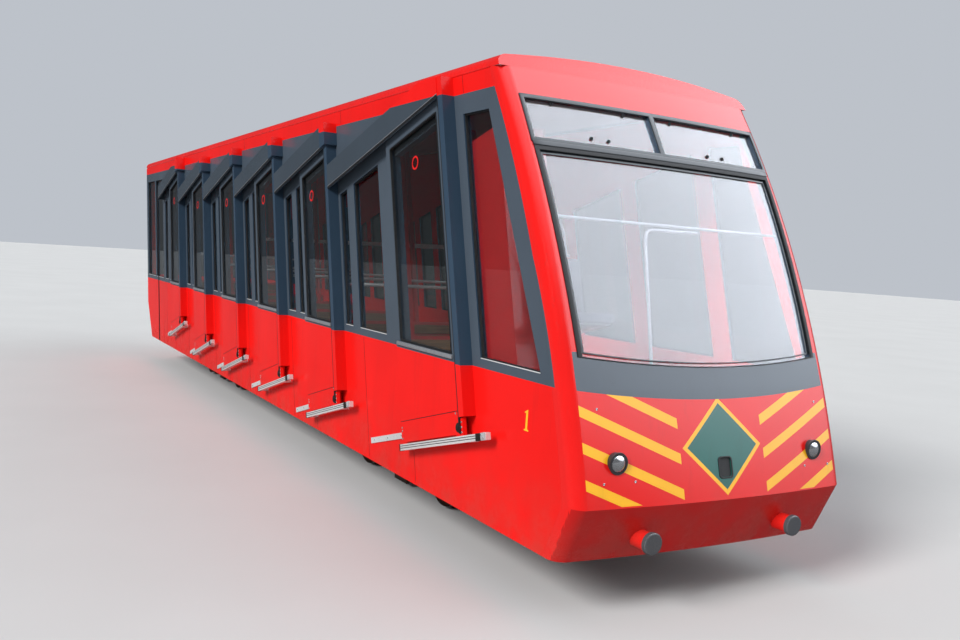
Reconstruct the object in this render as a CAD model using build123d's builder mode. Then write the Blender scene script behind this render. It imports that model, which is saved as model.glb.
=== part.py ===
from build123d import *
from math import cos, radians, sin, tan
import os

os.makedirs("parts", exist_ok=True)

# A funicular car for a line that climbs at the angle below. X runs along the track towards the
# valley end, Z is square to the track with zero at the wheels' lowest point, Y is across. The
# floors, doors and rails inside it are level when the car stands on that slope, so they are
# tilted here. The pair (h, v) is distance along the level and height above it, from the datum.
slope = 15.3
datum_x = 7000.0
datum_z = 1020.0

# Main sizes of the body
body_half = 1150.0
wall = 60.0
skin = 55.0
bottom_z = 400.0
waist_z = 1438.0
wall_top_z = 3490.0
roof_edge_radius = 90.0
roof_camber = 60.0
roof_top_z = wall_top_z + roof_edge_radius + roof_camber
tail_h = -13030.0
tail_cut_height = 600.0
tail_cut_length = 520.0
fit_gap = 0.5
inner_half = body_half - wall

# Valley end: its profile on the centre line, and the radius it is bowed to in plan
nose_bow_radius = 11000.0
nose_top_x = -1167.0
nose_top_z = 3570.0
nose_mid_x = -375.0
nose_mid_z = 2146.0
nose_crest_x = 85.0
nose_crest_z = 760.0
nose_chin_x = -83.0
nose_return = 200.0
nose_corner_radius = 90.0

# Doors and floors
pitch = 1600.0
first_bay = 2330.0
first_post_h = -1120.0
first_floor_v = 440.0
last_step = 540.0
bays = 6
floor_step = pitch * tan(radians(slope))
leaf_thick = 40.0
leaf_gap = 16.0
leaf_to_post = 110.0
leaf_width = 790.0
first_leaf_width = 990.0
leaf_travel = 640.0
first_leaf_travel = 840.0
leaf_below_floor = 165.0
leaf_above_floor = 2350.0
leaf_stile = 75.0
window_head_v = 2230.0
doorway_inset = 40.0
doorway_height = 2180.0

# Door posts, their caps, the covers over the hangers and the rails at the foot
post_width = 70.0
post_depth = 100.0
post_foot_v = -50.0
cap_width = 130.0
cap_ahead = 30.0
cap_depth = 130.0
cap_foot_v = 2285.0
cap_top_v = 2500.0
cover_bottom_v = 2290.0
cover_top_v = 2520.0
cover_depth = 105.0
cover_sheet = 12.0
rail_top_v = -180.0
rail_height = 48.0
rail_inner = 62.0
rail_outer = 100.0
rail_ahead = 280.0
bracket_width = 60.0
stop_thick = 9.0
guide_width = 80.0
rest_gap = 0.3

# Windows
sill_z = 1500.0
leaf_sill_z = 1492.0
glass_thick = 8.0
glass_inset = 27.0
cab_head_z = 3205.0
cab_window_h = -1005.0
far_cab_window_h = -880.0
far_head_v = 2080.0
window_bar_z0 = 2264.0
window_bar_z1 = 2320.0
window_bar_depth = 30.0

nose_glass_inset = 18.0
screen_foot_half = inner_half - 80
screen_foot_z = 1625.0
screen_bow = 57.0
screen_head_half = inner_half - 55
screen_head_z = 2915.0
vent_foot_z = 2991.0
vent_head_z = 3262.0
vent_mid_gap = 22.0

# What the valley end carries
lamp_y = inner_half - 242
lamp_radius = 62.0
buffer_y = 610.0
buffer_z = 535.0
sleeve_radius = 60.0
buffer_radius = 70.0
hatch_z = 955.0
hatch_width = 100.0
hatch_height = 116.0
hatch_corner = 20.0
hatch_recess = 5.0

# Running gear
gauge_half = 500.0
wheel_radius = 280.0
flange_depth = 25.0
flange_width = 30.0
tread_width = 75.0
axle_radius = 60.0
journal_radius = 45.0
wheelbase = 1660.0
frame_y = 600.0
frame_thick = 50.0
pivot_radius = 150.0


def level_point(h, v):
    """X and Z of a point given along the level."""
    a = radians(slope)
    return (datum_x + h * cos(a) - v * sin(a), datum_z + h * sin(a) + v * cos(a))


def upright_point(h, z):
    """The point at height z on the upright line at h."""
    a = radians(slope)
    v = (z - datum_z - h * sin(a)) / cos(a)
    return level_point(h, v)


def level_box(h0, h1, v0, v1):
    """Corners of a rectangle that is level on the slope, anticlockwise."""
    return [level_point(h0, v0), level_point(h1, v0), level_point(h1, v1), level_point(h0, v1)]


def window_box(h0, h1, z0, v1):
    """A window whose sill follows the track and whose head is level."""
    return [upright_point(h0, z0), upright_point(h1, z0), level_point(h1, v1), level_point(h0, v1)]


def band_box(h0, h1, z0, z1):
    """A window with upright sides whose sill and head follow the track."""
    return [upright_point(h0, z0), upright_point(h1, z0), upright_point(h1, z1), upright_point(h0, z1)]


def slab(corners, y0, y1, mode=Mode.ADD):
    """A plate with the given outline from y0 to y1."""
    with BuildSketch(Plane.XZ.offset(-y1)) as outline:
        Polygon(*corners, align=None)
    extrude(outline.sketch, amount=y1 - y0, mode=mode)


def block(x0, x1, y0, y1, z0, z1, mode=Mode.ADD):
    """A box between six planes."""
    slab([(x0, z0), (x1, z0), (x1, z1), (x0, z1)], y0, y1, mode)


def finish(piece, name):
    """Label one piece and write it."""
    piece.part.label = name
    export_step(piece.part, f"parts/{name}.step")


# Where each bay starts, how high its floor is and how wide its door is
post_hs = [first_post_h, first_post_h - first_bay]
for bay in range(2, bays + 1):
    post_hs.append(post_hs[-1] - pitch)
floor_vs = [first_floor_v]
for bay in range(1, bays - 1):
    floor_vs.append(floor_vs[-1] + floor_step)
floor_vs.append(floor_vs[-1] + last_step)
floor_vs.append(floor_vs[-1] + floor_step)
widths = [first_leaf_width] + [leaf_width] * (bays - 1)
travels = [first_leaf_travel] + [leaf_travel] * (bays - 1)
leaf_rights = [post_hs[bay] - leaf_to_post for bay in range(bays)]
leaf_lefts = [leaf_rights[bay] - widths[bay] for bay in range(bays)]
riser_hs = [post_hs[bay] - post_width / 2 for bay in range(1, bays + 1)]

# The uphill end is upright, with its foot cut back on a slant
tail_inner_h = tail_h + wall
tail_knee = upright_point(tail_h, bottom_z + tail_cut_height)
tail_toe = (tail_knee[0] + tail_cut_length, bottom_z)
tail_inner_knee = upright_point(tail_inner_h, bottom_z + tail_cut_height + 25)
tail_inner_toe = (tail_toe[0] + 80, bottom_z)

# The valley end is a body of revolution: its profile swung about a far upright axis. What lies
# in front of that surface is taken away from each piece that ends there.
bow_x = datum_x + nose_crest_x - nose_bow_radius
bow_axis = Axis((bow_x, 0, 0), (0, 0, 1))
clear_x = datum_x + 900
glazing_depth = nose_glass_inset + glass_thick
skin_shift = 1.12 * skin


def nose_line(shift):
    """Corner points of the profile, moved back by shift: chin, crest, middle, top."""
    x = datum_x - shift
    return [
        (x + nose_chin_x, bottom_z),
        (x + nose_crest_x, nose_crest_z),
        (x + nose_mid_x, nose_mid_z),
        (x + nose_top_x, nose_top_z),
    ]


def nose_x(z):
    """X of the profile on the centre line at height z, above the crest."""
    (x1, z1), (x2, z2), (x3, z3) = nose_line(0)[1:]
    d = 2 * (x1 * (z2 - z3) + x2 * (z3 - z1) + x3 * (z1 - z2))
    s1, s2, s3 = x1 * x1 + z1 * z1, x2 * x2 + z2 * z2, x3 * x3 + z3 * z3
    cx = (s1 * (z2 - z3) + s2 * (z3 - z1) + s3 * (z1 - z2)) / d
    cz = (s1 * (x3 - x2) + s2 * (x1 - x3) + s3 * (x2 - x1)) / d
    radius = ((x1 - cx) ** 2 + (z1 - cz) ** 2) ** 0.5
    return cx + (radius**2 - (z - cz) ** 2) ** 0.5


def nose_void(shift):
    """The space in front of the valley end's surface, moved back by shift."""
    chin, crest, middle, top = nose_line(shift)
    under = (2 * chin[0] - crest[0], 2 * chin[1] - crest[1])
    over = (top[0] - 130, top[1] + 200)
    with BuildPart(mode=Mode.PRIVATE) as void:
        with BuildSketch(Plane.XZ):
            with BuildLine():
                Polyline((clear_x, under[1]), under, chin, crest)
                ThreePointArc(crest, middle, top)
                Polyline(top, over, (clear_x, over[1]), (clear_x, under[1]))
            make_face()
        revolve(axis=bow_axis, revolution_arc=360)
    return void.part


def side_outline(z0, z1):
    """Sketch of a side wall between two heights, from the tail wall to the valley end."""
    chin, crest, middle, top = nose_line(nose_return + fit_gap)
    with BuildLine() as edge:
        Polyline((tail_toe[0] - 2000, chin[1]), chin, crest)
        ThreePointArc(crest, middle, top)
        Polyline(top, (tail_toe[0] - 2000, top[1]), (tail_toe[0] - 2000, chin[1]))
    make_face(edge.edges())
    Polygon(
        (tail_inner_toe[0] + fit_gap, bottom_z),
        (clear_x, bottom_z),
        (clear_x, z1),
        upright_point(tail_inner_h + fit_gap, z1),
        (tail_inner_knee[0] + fit_gap, tail_inner_knee[1]),
        align=None,
        mode=Mode.INTERSECT,
    )
    if z0 > bottom_z:
        x0 = tail_toe[0] - 2000
        Polygon((x0, z0), (clear_x, z0), (clear_x, z1), (x0, z1), align=None, mode=Mode.INTERSECT)


nose_outer = nose_void(0)
nose_inner = nose_void(skin_shift)

# Room behind the valley end's skin, between the side walls
with BuildPart() as cab_room:
    block(datum_x - 2500, datum_x + 500, -inner_half, inner_half, bottom_z - 100, wall_top_z + 100)
    add(nose_inner, mode=Mode.SUBTRACT)

# Valley end shell, bent round both corners
with BuildPart() as nose_shell:
    with BuildSketch(Plane.XZ.offset(-body_half)):
        with BuildLine():
            chin, crest, middle, top = nose_line(nose_return)
            Polyline((datum_x + 500, bottom_z), chin, crest)
            ThreePointArc(crest, middle, top)
            Polyline(top, (datum_x + 500, top[1]), (datum_x + 500, bottom_z))
        make_face()
    extrude(amount=2 * body_half)
    add(nose_outer, mode=Mode.SUBTRACT)
    corners = nose_shell.edges().filter_by(lambda e: abs(abs(e.center().Y) - body_half) < 1)
    fillet(corners.filter_by(GeomType.BSPLINE) + corners.filter_by(GeomType.HYPERBOLA),
           nose_corner_radius)
    split(bisect_by=Plane.XY.offset(wall_top_z), keep=Keep.BOTTOM)
    add(cab_room.part, mode=Mode.SUBTRACT)


def windscreen_outline():
    """The large pane: straight sides and head, and a sill that bows down."""
    with BuildLine() as edge:
        Polyline((-screen_foot_half, screen_foot_z), (-screen_head_half, screen_head_z),
                 (screen_head_half, screen_head_z), (screen_foot_half, screen_foot_z))
        ThreePointArc((-screen_foot_half, screen_foot_z), (0, screen_foot_z - screen_bow),
                      (screen_foot_half, screen_foot_z))
    make_face(edge.edges())


def vent_outline(side):
    """One of the two small panes above the windscreen."""
    near = side * vent_mid_gap
    far = side * (screen_head_half + 5)
    low, high = min(near, far), max(near, far)
    Polygon((low, vent_foot_z), (high, vent_foot_z), (high, vent_head_z), (low, vent_head_z),
            align=None)


front_plane = Plane.YZ.offset(datum_x - 1600)
front_reach = 2000.0

with BuildPart() as nose_frame:
    add(nose_shell.part)
    split(bisect_by=Plane.XY.offset(waist_z), keep=Keep.TOP)
    with BuildSketch(front_plane):
        windscreen_outline()
    extrude(amount=front_reach, mode=Mode.SUBTRACT)
    for side in (-1, 1):
        with BuildSketch(front_plane):
            vent_outline(side)
        extrude(amount=front_reach, mode=Mode.SUBTRACT)
finish(nose_frame, "nose_frame")

with BuildPart() as nose_panel:
    add(nose_shell.part)
    split(bisect_by=Plane.XY.offset(waist_z), keep=Keep.BOTTOM)
    with BuildSketch(front_plane):
        with Locations((-lamp_y, datum_z), (lamp_y, datum_z)):
            Circle(lamp_radius)
        with Locations((-buffer_y, buffer_z), (buffer_y, buffer_z)):
            Circle(sleeve_radius)
        with Locations((0, hatch_z)):
            RectangleRounded(hatch_width, hatch_height, hatch_corner)
    extrude(amount=front_reach, mode=Mode.SUBTRACT)
finish(nose_panel, "nose_panel")

# Panes of the valley end: one thin layer of the same surface, cut to the openings
pane_front = nose_void(nose_glass_inset)
pane_back = nose_void(glazing_depth)
with BuildPart() as glazing_back:
    block(datum_x - 1700, datum_x + 500, -inner_half - 1, inner_half + 1, waist_z - 1, wall_top_z + 1)
    add(pane_back, mode=Mode.SUBTRACT)
with BuildPart() as glazing_layer:
    block(datum_x - 1600, datum_x + 500, -inner_half, inner_half, waist_z, wall_top_z)
    add(pane_front, mode=Mode.SUBTRACT)
    add(glazing_back.part, mode=Mode.SUBTRACT)
with BuildPart() as front_glass:
    with BuildSketch(front_plane):
        windscreen_outline()
    extrude(amount=front_reach)
    for side in (-1, 1):
        with BuildSketch(front_plane):
            vent_outline(side)
        extrude(amount=front_reach)
    add(glazing_layer.part, mode=Mode.INTERSECT)
finish(front_glass, "front_glass")

# Doorways, windows and panes of the side walls
doorways = []
for bay in range(bays):
    doorways.append(level_box(leaf_lefts[bay] + doorway_inset, leaf_rights[bay] - doorway_inset / 2,
                              floor_vs[bay], floor_vs[bay] + doorway_height))

# Panes between a door and the next post, as distances back from the post: near start, near end,
# far start, far end
first_panes = (1400, 1950, 2110, 2280)
other_panes = (1040, 1190, 1330, 1540)


def cab_window(back_h, foot_back, head_back):
    """The window of the driver's place: its front edge leans back with the valley end."""
    foot_x = nose_x(sill_z) - nose_return - foot_back
    head_x = nose_x(cab_head_z) - nose_return - head_back
    return [upright_point(back_h, sill_z), (foot_x, sill_z), (head_x, cab_head_z),
            upright_point(back_h, cab_head_z)]


tail_panes = ((tail_h + 130, tail_h + 770), (tail_h + 850, tail_h + 1460))
tail_windows = [band_box(h0, h1, sill_z, cab_head_z) for h0, h1 in tail_panes]
door_side_windows = [cab_window(cab_window_h, 105, 150)] + tail_windows
for bay in range(bays):
    near0, near1, far0, far1 = first_panes if bay == 0 else other_panes
    head_v = floor_vs[bay] + window_head_v
    post_h = post_hs[bay]
    door_side_windows.append(window_box(post_h - near1, post_h - near0, sill_z, head_v))
    door_side_windows.append(window_box(post_h - far1, post_h - far0, sill_z, head_v))

# The other side has no doors: three panes in each bay, as distances back from the post
far_first_panes = ((-40, 710), (910, 1660), (1860, 2255))
far_panes = ((75, 650), (790, 1130), (1270, 1525))
plain_side_windows = [cab_window(far_cab_window_h, 50, 50)] + tail_windows
for bay in range(bays):
    head_v = floor_vs[bay] + far_head_v
    for start, end in far_first_panes if bay == 0 else far_panes:
        plain_side_windows.append(window_box(post_hs[bay] - end, post_hs[bay] - start, sill_z, head_v))

# Side walls: red below the waist, window band above it. The band is made of panels that meet at
# the posts.
door_side_joints = [post_h - post_width / 2 for post_h in post_hs]
first_pillar_h = (far_cab_window_h + first_post_h - far_first_panes[0][0]) / 2
plain_side_joints = [first_pillar_h] + post_hs[1:]
sides = (
    ("left", -body_half, doorways, door_side_windows, door_side_joints),
    ("right", inner_half, [], plain_side_windows, plain_side_joints),
)
for side, y0, openings, windows, joints in sides:
    with BuildPart() as lower_wall:
        with BuildSketch(Plane.XZ.offset(-(y0 + wall))) as outline:
            side_outline(bottom_z, waist_z)
        extrude(outline.sketch, amount=wall)
        for opening in openings:
            slab(opening, y0, y0 + wall, Mode.SUBTRACT)
    finish(lower_wall, f"lower_wall_{side}")
    with BuildPart() as upper_wall:
        with BuildSketch(Plane.XZ.offset(-(y0 + wall))) as outline:
            side_outline(waist_z, wall_top_z)
        extrude(outline.sketch, amount=wall)
        for opening in openings + windows:
            slab(opening, y0, y0 + wall, Mode.SUBTRACT)
        for joint_h in joints:
            slab(band_box(joint_h, joint_h + rest_gap, waist_z - 1, wall_top_z + 1), y0, y0 + wall,
                 Mode.SUBTRACT)
    finish(upper_wall, f"upper_wall_{side}")
    pane_y = y0 + glass_inset if y0 < 0 else y0 + wall - glass_inset - glass_thick
    with BuildPart() as side_glass:
        for window in windows:
            slab(window, pane_y, pane_y + glass_thick)
    finish(side_glass, f"side_glass_{side}")

# A light metal bar along the panes of the plain side
with BuildPart() as window_bar:
    slab(band_box(tail_inner_h + fit_gap, post_hs[1], window_bar_z0, window_bar_z1),
         inner_half - window_bar_depth, inner_half)
finish(window_bar, "window_bar")

# Uphill end: one wall with a wide window
tail_window_half = inner_half - 130
tail_reach = 3000.0
beyond_tail_x = tail_toe[0] - tail_reach / 2
tail_head_z = 3250.0
lamp_seat_z = 1200.0
with BuildPart() as tail_wall:
    slab([upright_point(tail_h, wall_top_z), tail_knee, tail_toe, tail_inner_toe, tail_inner_knee,
          upright_point(tail_inner_h, wall_top_z)], -body_half, body_half)
    tail_edges = tail_wall.edges().filter_by(lambda e: abs(abs(e.center().Y) - body_half) < 1)
    fillet(tail_edges.group_by(Axis.X)[0], 35)
    with BuildSketch(Plane.YZ.offset(beyond_tail_x)):
        Polygon((-tail_window_half, sill_z), (tail_window_half, sill_z), (tail_window_half, tail_head_z),
                (-tail_window_half, tail_head_z), align=None)
        with Locations((-lamp_y, lamp_seat_z), (lamp_y, lamp_seat_z)):
            Circle(lamp_radius)
    extrude(amount=tail_reach, mode=Mode.SUBTRACT)
finish(tail_wall, "tail_wall")
with BuildPart() as rear_glass:
    pane_h = tail_h + glass_inset
    slab(band_box(pane_h, pane_h + glass_thick, sill_z, tail_head_z), -tail_window_half, tail_window_half)
finish(rear_glass, "rear_glass")
with BuildPart() as tail_lamps:
    lamp_x = upright_point(tail_h, lamp_seat_z)[0]
    with BuildSketch(Plane.YZ.offset(lamp_x - 25)):
        with Locations((-lamp_y, lamp_seat_z), (lamp_y, lamp_seat_z)):
            Circle(lamp_radius - rest_gap)
    extrude(amount=90)
finish(tail_lamps, "tail_lamps")

# Roof: cambered sheet with rounded edges, closed at both ends
roof_sheet = 50.0
roof_reach = datum_x + 500 - beyond_tail_x
edge_y = body_half - roof_edge_radius


def roof_section(sheet):
    """Half-round edges and a camber, set in by the sheet's thickness."""
    radius = roof_edge_radius - sheet
    low = radius * (1 - cos(radians(45)))
    top = wall_top_z + radius
    with BuildLine() as edge:
        ThreePointArc((-edge_y - radius, wall_top_z), (-edge_y - radius + low, top - low), (-edge_y, top))
        ThreePointArc((-edge_y, top), (0, roof_top_z - sheet), (edge_y, top))
        ThreePointArc((edge_y, top), (edge_y + radius - low, top - low), (edge_y + radius, wall_top_z))
        Line((edge_y + radius, wall_top_z), (-edge_y - radius, wall_top_z))
    make_face(edge.edges())


def behind_foot(mode):
    """Take away what lies behind the inside of the uphill end, its slanted foot included."""
    far = tail_toe[0] - 3000
    slab([(far, bottom_z), tail_inner_toe, tail_inner_knee, upright_point(tail_inner_h, roof_top_z),
          (far, roof_top_z)], -body_half - 1, body_half + 1, mode)


def behind_tail(h, mode):
    """Take away what lies uphill of the upright line at h."""
    far = tail_toe[0] - 3000
    slab([(far, bottom_z), upright_point(h, bottom_z), upright_point(h, roof_top_z + 100),
          (far, roof_top_z + 100)], -body_half - 1, body_half + 1, mode)


with BuildPart() as roof_room:
    with BuildSketch(Plane.YZ.offset(beyond_tail_x)) as outline:
        roof_section(roof_sheet)
    extrude(outline.sketch, amount=roof_reach)
    add(nose_inner, mode=Mode.SUBTRACT)
    behind_tail(tail_inner_h, Mode.SUBTRACT)
with BuildPart() as roof:
    with BuildSketch(Plane.YZ.offset(beyond_tail_x)) as outline:
        roof_section(0)
    extrude(outline.sketch, amount=roof_reach)
    add(nose_outer, mode=Mode.SUBTRACT)
    behind_tail(tail_h, Mode.SUBTRACT)
    add(roof_room.part, mode=Mode.SUBTRACT)
finish(roof, "roof")

# Door posts, all but the first with a cap, covers over the hangers, and the rails at the foot
with BuildPart() as door_posts:
    for bay in range(bays):
        post_h = post_hs[bay]
        floor_v = floor_vs[bay]
        if bay == 0:
            slab([level_point(post_h - post_width, floor_v + post_foot_v),
                  level_point(post_h, floor_v + post_foot_v), upright_point(post_h, wall_top_z),
                  upright_point(post_h - post_width, wall_top_z)], -body_half - post_depth, -body_half)
            continue
        slab(level_box(post_h - post_width, post_h, floor_v + post_foot_v, floor_v + cap_foot_v),
             -body_half - post_depth, -body_half)
        h0 = post_h + cap_ahead - cap_width
        h1 = post_h + cap_ahead
        foot_v = floor_v + cap_foot_v
        tops = [min(level_point(h, floor_v + cap_top_v)[1], wall_top_z) for h in (h0, h1)]
        slab([level_point(h0, foot_v), level_point(h1, foot_v), upright_point(h1, tops[1]),
              upright_point(h0, tops[0])], -body_half - cap_depth, -body_half)
finish(door_posts, "door_posts")



def cover_outline(low_h, high_h, low_v, high_v, limit_z):
    """A level rectangle cut off at the height limit_z."""
    box = level_box(low_h, high_h, low_v, high_v)
    x0 = box[3][0] - 10
    x1 = box[1][0] + 10
    Polygon(*box, align=None)
    Polygon((x0, bottom_z), (x1, bottom_z), (x1, limit_z), (x0, limit_z), align=None, mode=Mode.INTERSECT)


with BuildPart() as door_covers:
    for bay in range(bays):
        floor_v = floor_vs[bay]
        low_h = post_hs[bay + 1]
        high_h = post_hs[bay] - (post_width if bay == 0 else cap_width - cap_ahead)
        closed_end = cover_sheet if bay == bays - 1 else -10
        with BuildSketch(Plane.XZ.offset(body_half)) as outline:
            cover_outline(low_h, high_h, floor_v + cover_bottom_v, floor_v + cover_top_v, wall_top_z)
        extrude(outline.sketch, amount=cover_depth)
        with BuildSketch(Plane.XZ.offset(body_half)) as outline:
            cover_outline(low_h + closed_end, high_h + 10, floor_v + cover_bottom_v - 10,
                          floor_v + cover_top_v - cover_sheet, wall_top_z - cover_sheet)
        extrude(outline.sketch, amount=cover_depth - cover_sheet, mode=Mode.SUBTRACT)
finish(door_covers, "door_covers")

with BuildPart() as door_rails:
    for bay in range(bays):
        top_v = floor_vs[bay] + rail_top_v
        low_h = leaf_rights[bay] - travels[bay] - guide_width - 20
        high_h = post_hs[bay] + rail_ahead
        slab(level_box(low_h, high_h, top_v - rail_height, top_v),
             -body_half - rail_outer, -body_half - rail_inner)
        for h0 in (low_h, post_hs[bay] - 40):
            slab(level_box(h0, h0 + bracket_width, top_v - rail_height, top_v - 4),
                 -body_half - rail_inner, -body_half)
        slab(level_box(leaf_lefts[bay] - travels[bay] + 120, leaf_lefts[bay] - 20, top_v + 52, top_v + 100),
             -body_half - stop_thick, -body_half)
finish(door_rails, "door_rails")

# Door leaves with a guide block that runs on the rail, and their panes
leaf_y = -body_half - leaf_gap
for bay in range(bays):
    left = leaf_lefts[bay]
    right = leaf_rights[bay]
    floor_v = floor_vs[bay]
    pane = window_box(left + leaf_stile, right - leaf_stile, leaf_sill_z, floor_v + window_head_v)
    with BuildPart() as door:
        slab(level_box(left, right, floor_v - leaf_below_floor, floor_v + leaf_above_floor),
             leaf_y - leaf_thick, leaf_y)
        slab(pane, leaf_y - leaf_thick, leaf_y, Mode.SUBTRACT)
        slab(level_box(right - 40, right + guide_width - 15, floor_v + rail_top_v + rest_gap, floor_v - 60),
             leaf_y - leaf_thick - 30, leaf_y - leaf_thick)
    finish(door, f"door_{bay + 1}")
    with BuildPart() as door_glass:
        slab(pane, leaf_y - leaf_thick / 2 - glass_thick / 2, leaf_y - leaf_thick / 2 + glass_thick / 2)
    finish(door_glass, f"door_glass_{bay + 1}")

# Stepped floor
floor_sheet = 40.0
riser_sheet = 30.0
cab_front_h = -170.0
tread_starts = [cab_front_h] + riser_hs
tread_ends = riser_hs + [tail_inner_h + 1]
with BuildPart() as floor_steps:
    with BuildSketch(Plane.XZ.offset(-inner_half)) as outline:
        for start, end, floor_v in zip(tread_starts, tread_ends, floor_vs):
            Polygon(*level_box(end, start, floor_v - floor_sheet, floor_v), align=None)
        for riser_h, low_v, high_v in zip(riser_hs, floor_vs, floor_vs[1:]):
            Polygon(*level_box(riser_h - riser_sheet, riser_h, low_v - floor_sheet, high_v), align=None)
    extrude(outline.sketch, amount=2 * inner_half)
    behind_foot(Mode.SUBTRACT)
finish(floor_steps, "floor_steps")


def under_floor(x, floor_v):
    """Height of a tread's underside at x."""
    a = radians(slope)
    v = floor_v - floor_sheet
    return datum_z + (x - datum_x + v * sin(a)) * tan(a) + v * cos(a)


# Underframe: two sills between end beams, a bearer under each riser, wide bolsters over the
# bogies, props up to the treads
sill_y0 = 700.0
sill_y1 = 760.0
beam_top = 478.0
beam_width = 80.0
bolster_half = 260.0
prop_width = 60.0
low_xs = [level_point(riser_h, floor_v)[0] for riser_h, floor_v in zip(riser_hs, floor_vs)]
bogie_xs = [low_xs[0], low_xs[4]]
frame_front_x = datum_x - 330
frame_rear_x = tail_inner_toe[0] + 5
prop_z = beam_top + rest_gap
sill_low_x = frame_rear_x + beam_width + rest_gap
sill_high_x = frame_front_x - beam_width - rest_gap
with BuildPart() as underframe:
    for x in (frame_rear_x, frame_front_x - beam_width):
        block(x, x + beam_width, -inner_half, inner_half, bottom_z, beam_top)
    for x in low_xs:
        half = bolster_half if x in bogie_xs else beam_width / 2
        block(x - half, x + half, -sill_y0 + rest_gap, sill_y0 - rest_gap, bottom_z, beam_top)
    for side in (-1, 1):
        y0, y1 = sorted((side * sill_y0, side * sill_y1))
        block(sill_low_x, sill_high_x, y0, y1, bottom_z, beam_top)
        for x0, end, floor_v in zip([frame_front_x - 60] + low_xs, low_xs + [frame_rear_x], floor_vs):
            for share in (0.16, 0.5):
                x = x0 + (end - x0) * share
                slab([(x - prop_width, prop_z), (x, prop_z), (x, under_floor(x, floor_v) - rest_gap),
                      (x - prop_width, under_floor(x - prop_width, floor_v) - rest_gap)], y0, y1)
        y0, y1 = sorted((side * (sill_y1 + rest_gap), side * inner_half))
        for x in low_xs:
            block(x - beam_width / 2, x + beam_width / 2, y0, y1, bottom_z, beam_top)
finish(underframe, "underframe")

# Rope attachment at the uphill end: a clevis for the rope socket's pin
clevis_x = frame_rear_x + 60
clevis_z = 285.0
pin_radius = 20.0
with BuildPart() as rope_clevis:
    block(clevis_x - 40, clevis_x + 160, -90, 90, 360, bottom_z)
    for y0 in (-60, 30):
        with BuildSketch(Plane.XZ.offset(-(y0 + 30))) as outline:
            with BuildLine() as edge:
                Polyline((clevis_x - 45, clevis_z), (clevis_x - 30, 360), (clevis_x + 130, 360),
                         (clevis_x + 45, clevis_z))
                ThreePointArc((clevis_x + 45, clevis_z), (clevis_x, clevis_z - 45), (clevis_x - 45, clevis_z))
            make_face(edge.edges())
            with Locations((clevis_x, clevis_z)):
                Circle(pin_radius, mode=Mode.SUBTRACT)
        extrude(outline.sketch, amount=30)
finish(rope_clevis, "rope_clevis")

# Bogies: outside frame with a transom and a pivot plate, rail brake jaws, two wheelsets
axle_z = wheel_radius + flange_depth
frame_low = axle_z - 50
frame_high = 360.0
brake_foot_z = 45.0
jaw_gap = 5.0
jaw_inner = (gauge_half - 45, gauge_half - jaw_gap)
jaw_outer = (frame_y - 35, frame_y - jaw_gap)
jaw_sides = [(-high, -low) for low, high in (jaw_outer, jaw_inner)] + [jaw_inner, jaw_outer]
hub_radius = 95.0
hub_inner = 440.0
rim_radius = 225.0
web_y0 = 515.0
web_y1 = 542.0
flange_y = gauge_half - flange_width
flange_radius = wheel_radius + flange_depth
tread_y = gauge_half + tread_width
hub_outer = tread_y + 8
journal_end = frame_y + frame_thick + 5
number = 0
for place, bogie_x in zip(("front", "rear"), bogie_xs):
    axle_xs = (bogie_x + wheelbase / 2, bogie_x - wheelbase / 2)
    with BuildPart() as bogie:
        for y0 in (-frame_y - frame_thick, frame_y):
            with BuildSketch(Plane.XZ.offset(-(y0 + frame_thick))) as outline:
                Polygon((axle_xs[1] - 130, frame_low + 20), (axle_xs[0] + 130, frame_low + 20),
                        (axle_xs[0] + 100, frame_high), (axle_xs[1] - 100, frame_high), align=None)
                with Locations(*[(x, axle_z) for x in axle_xs]):
                    Rectangle(190, 150)
                    Circle(journal_radius + rest_gap, mode=Mode.SUBTRACT)
            extrude(outline.sketch, amount=frame_thick)
        block(bogie_x - 140, bogie_x + 140, -frame_y, frame_y, frame_low, frame_high)
        with BuildSketch(Plane.XY.offset(frame_high)):
            with Locations((bogie_x, 0)):
                Circle(pivot_radius)
        extrude(amount=bottom_z - rest_gap - frame_high)
    finish(bogie, f"bogie_{place}")
    with BuildPart() as brakes:
        for y0, y1 in jaw_sides:
            slab([(bogie_x - 130, brake_foot_z), (bogie_x + 130, brake_foot_z), (bogie_x + 130, 130),
                  (bogie_x + 70, frame_low), (bogie_x - 70, frame_low), (bogie_x - 130, 130)], y0, y1)
    finish(brakes, f"rail_brakes_{place}")
    for axle_x in axle_xs:
        number += 1
        with BuildPart() as axle:
            with BuildSketch(Plane.XY.offset(axle_z)):
                for side in (-1, 1):
                    half = [
                        (0, 0), (axle_radius, 0), (axle_radius, hub_inner), (hub_radius, hub_inner),
                        (hub_radius, web_y0 - 10), (rim_radius, web_y0), (rim_radius, flange_y),
                        (flange_radius - 8, flange_y), (flange_radius, flange_y + 12),
                        (flange_radius - 6, gauge_half - 6), (wheel_radius, gauge_half + 6),
                        (wheel_radius - 3, tread_y), (rim_radius, tread_y), (rim_radius, web_y1),
                        (hub_radius, web_y1 + 6), (hub_radius, hub_outer), (journal_radius, hub_outer),
                        (journal_radius, journal_end), (0, journal_end),
                    ]
                    points = [(axle_x + r, side * y) for r, y in half]
                    Polygon(*(points if side > 0 else points[::-1]), align=None)
            revolve(axis=Axis((axle_x, 0, axle_z), (0, 1, 0)), revolution_arc=360)
        finish(axle, f"axle_{number}")

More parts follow.
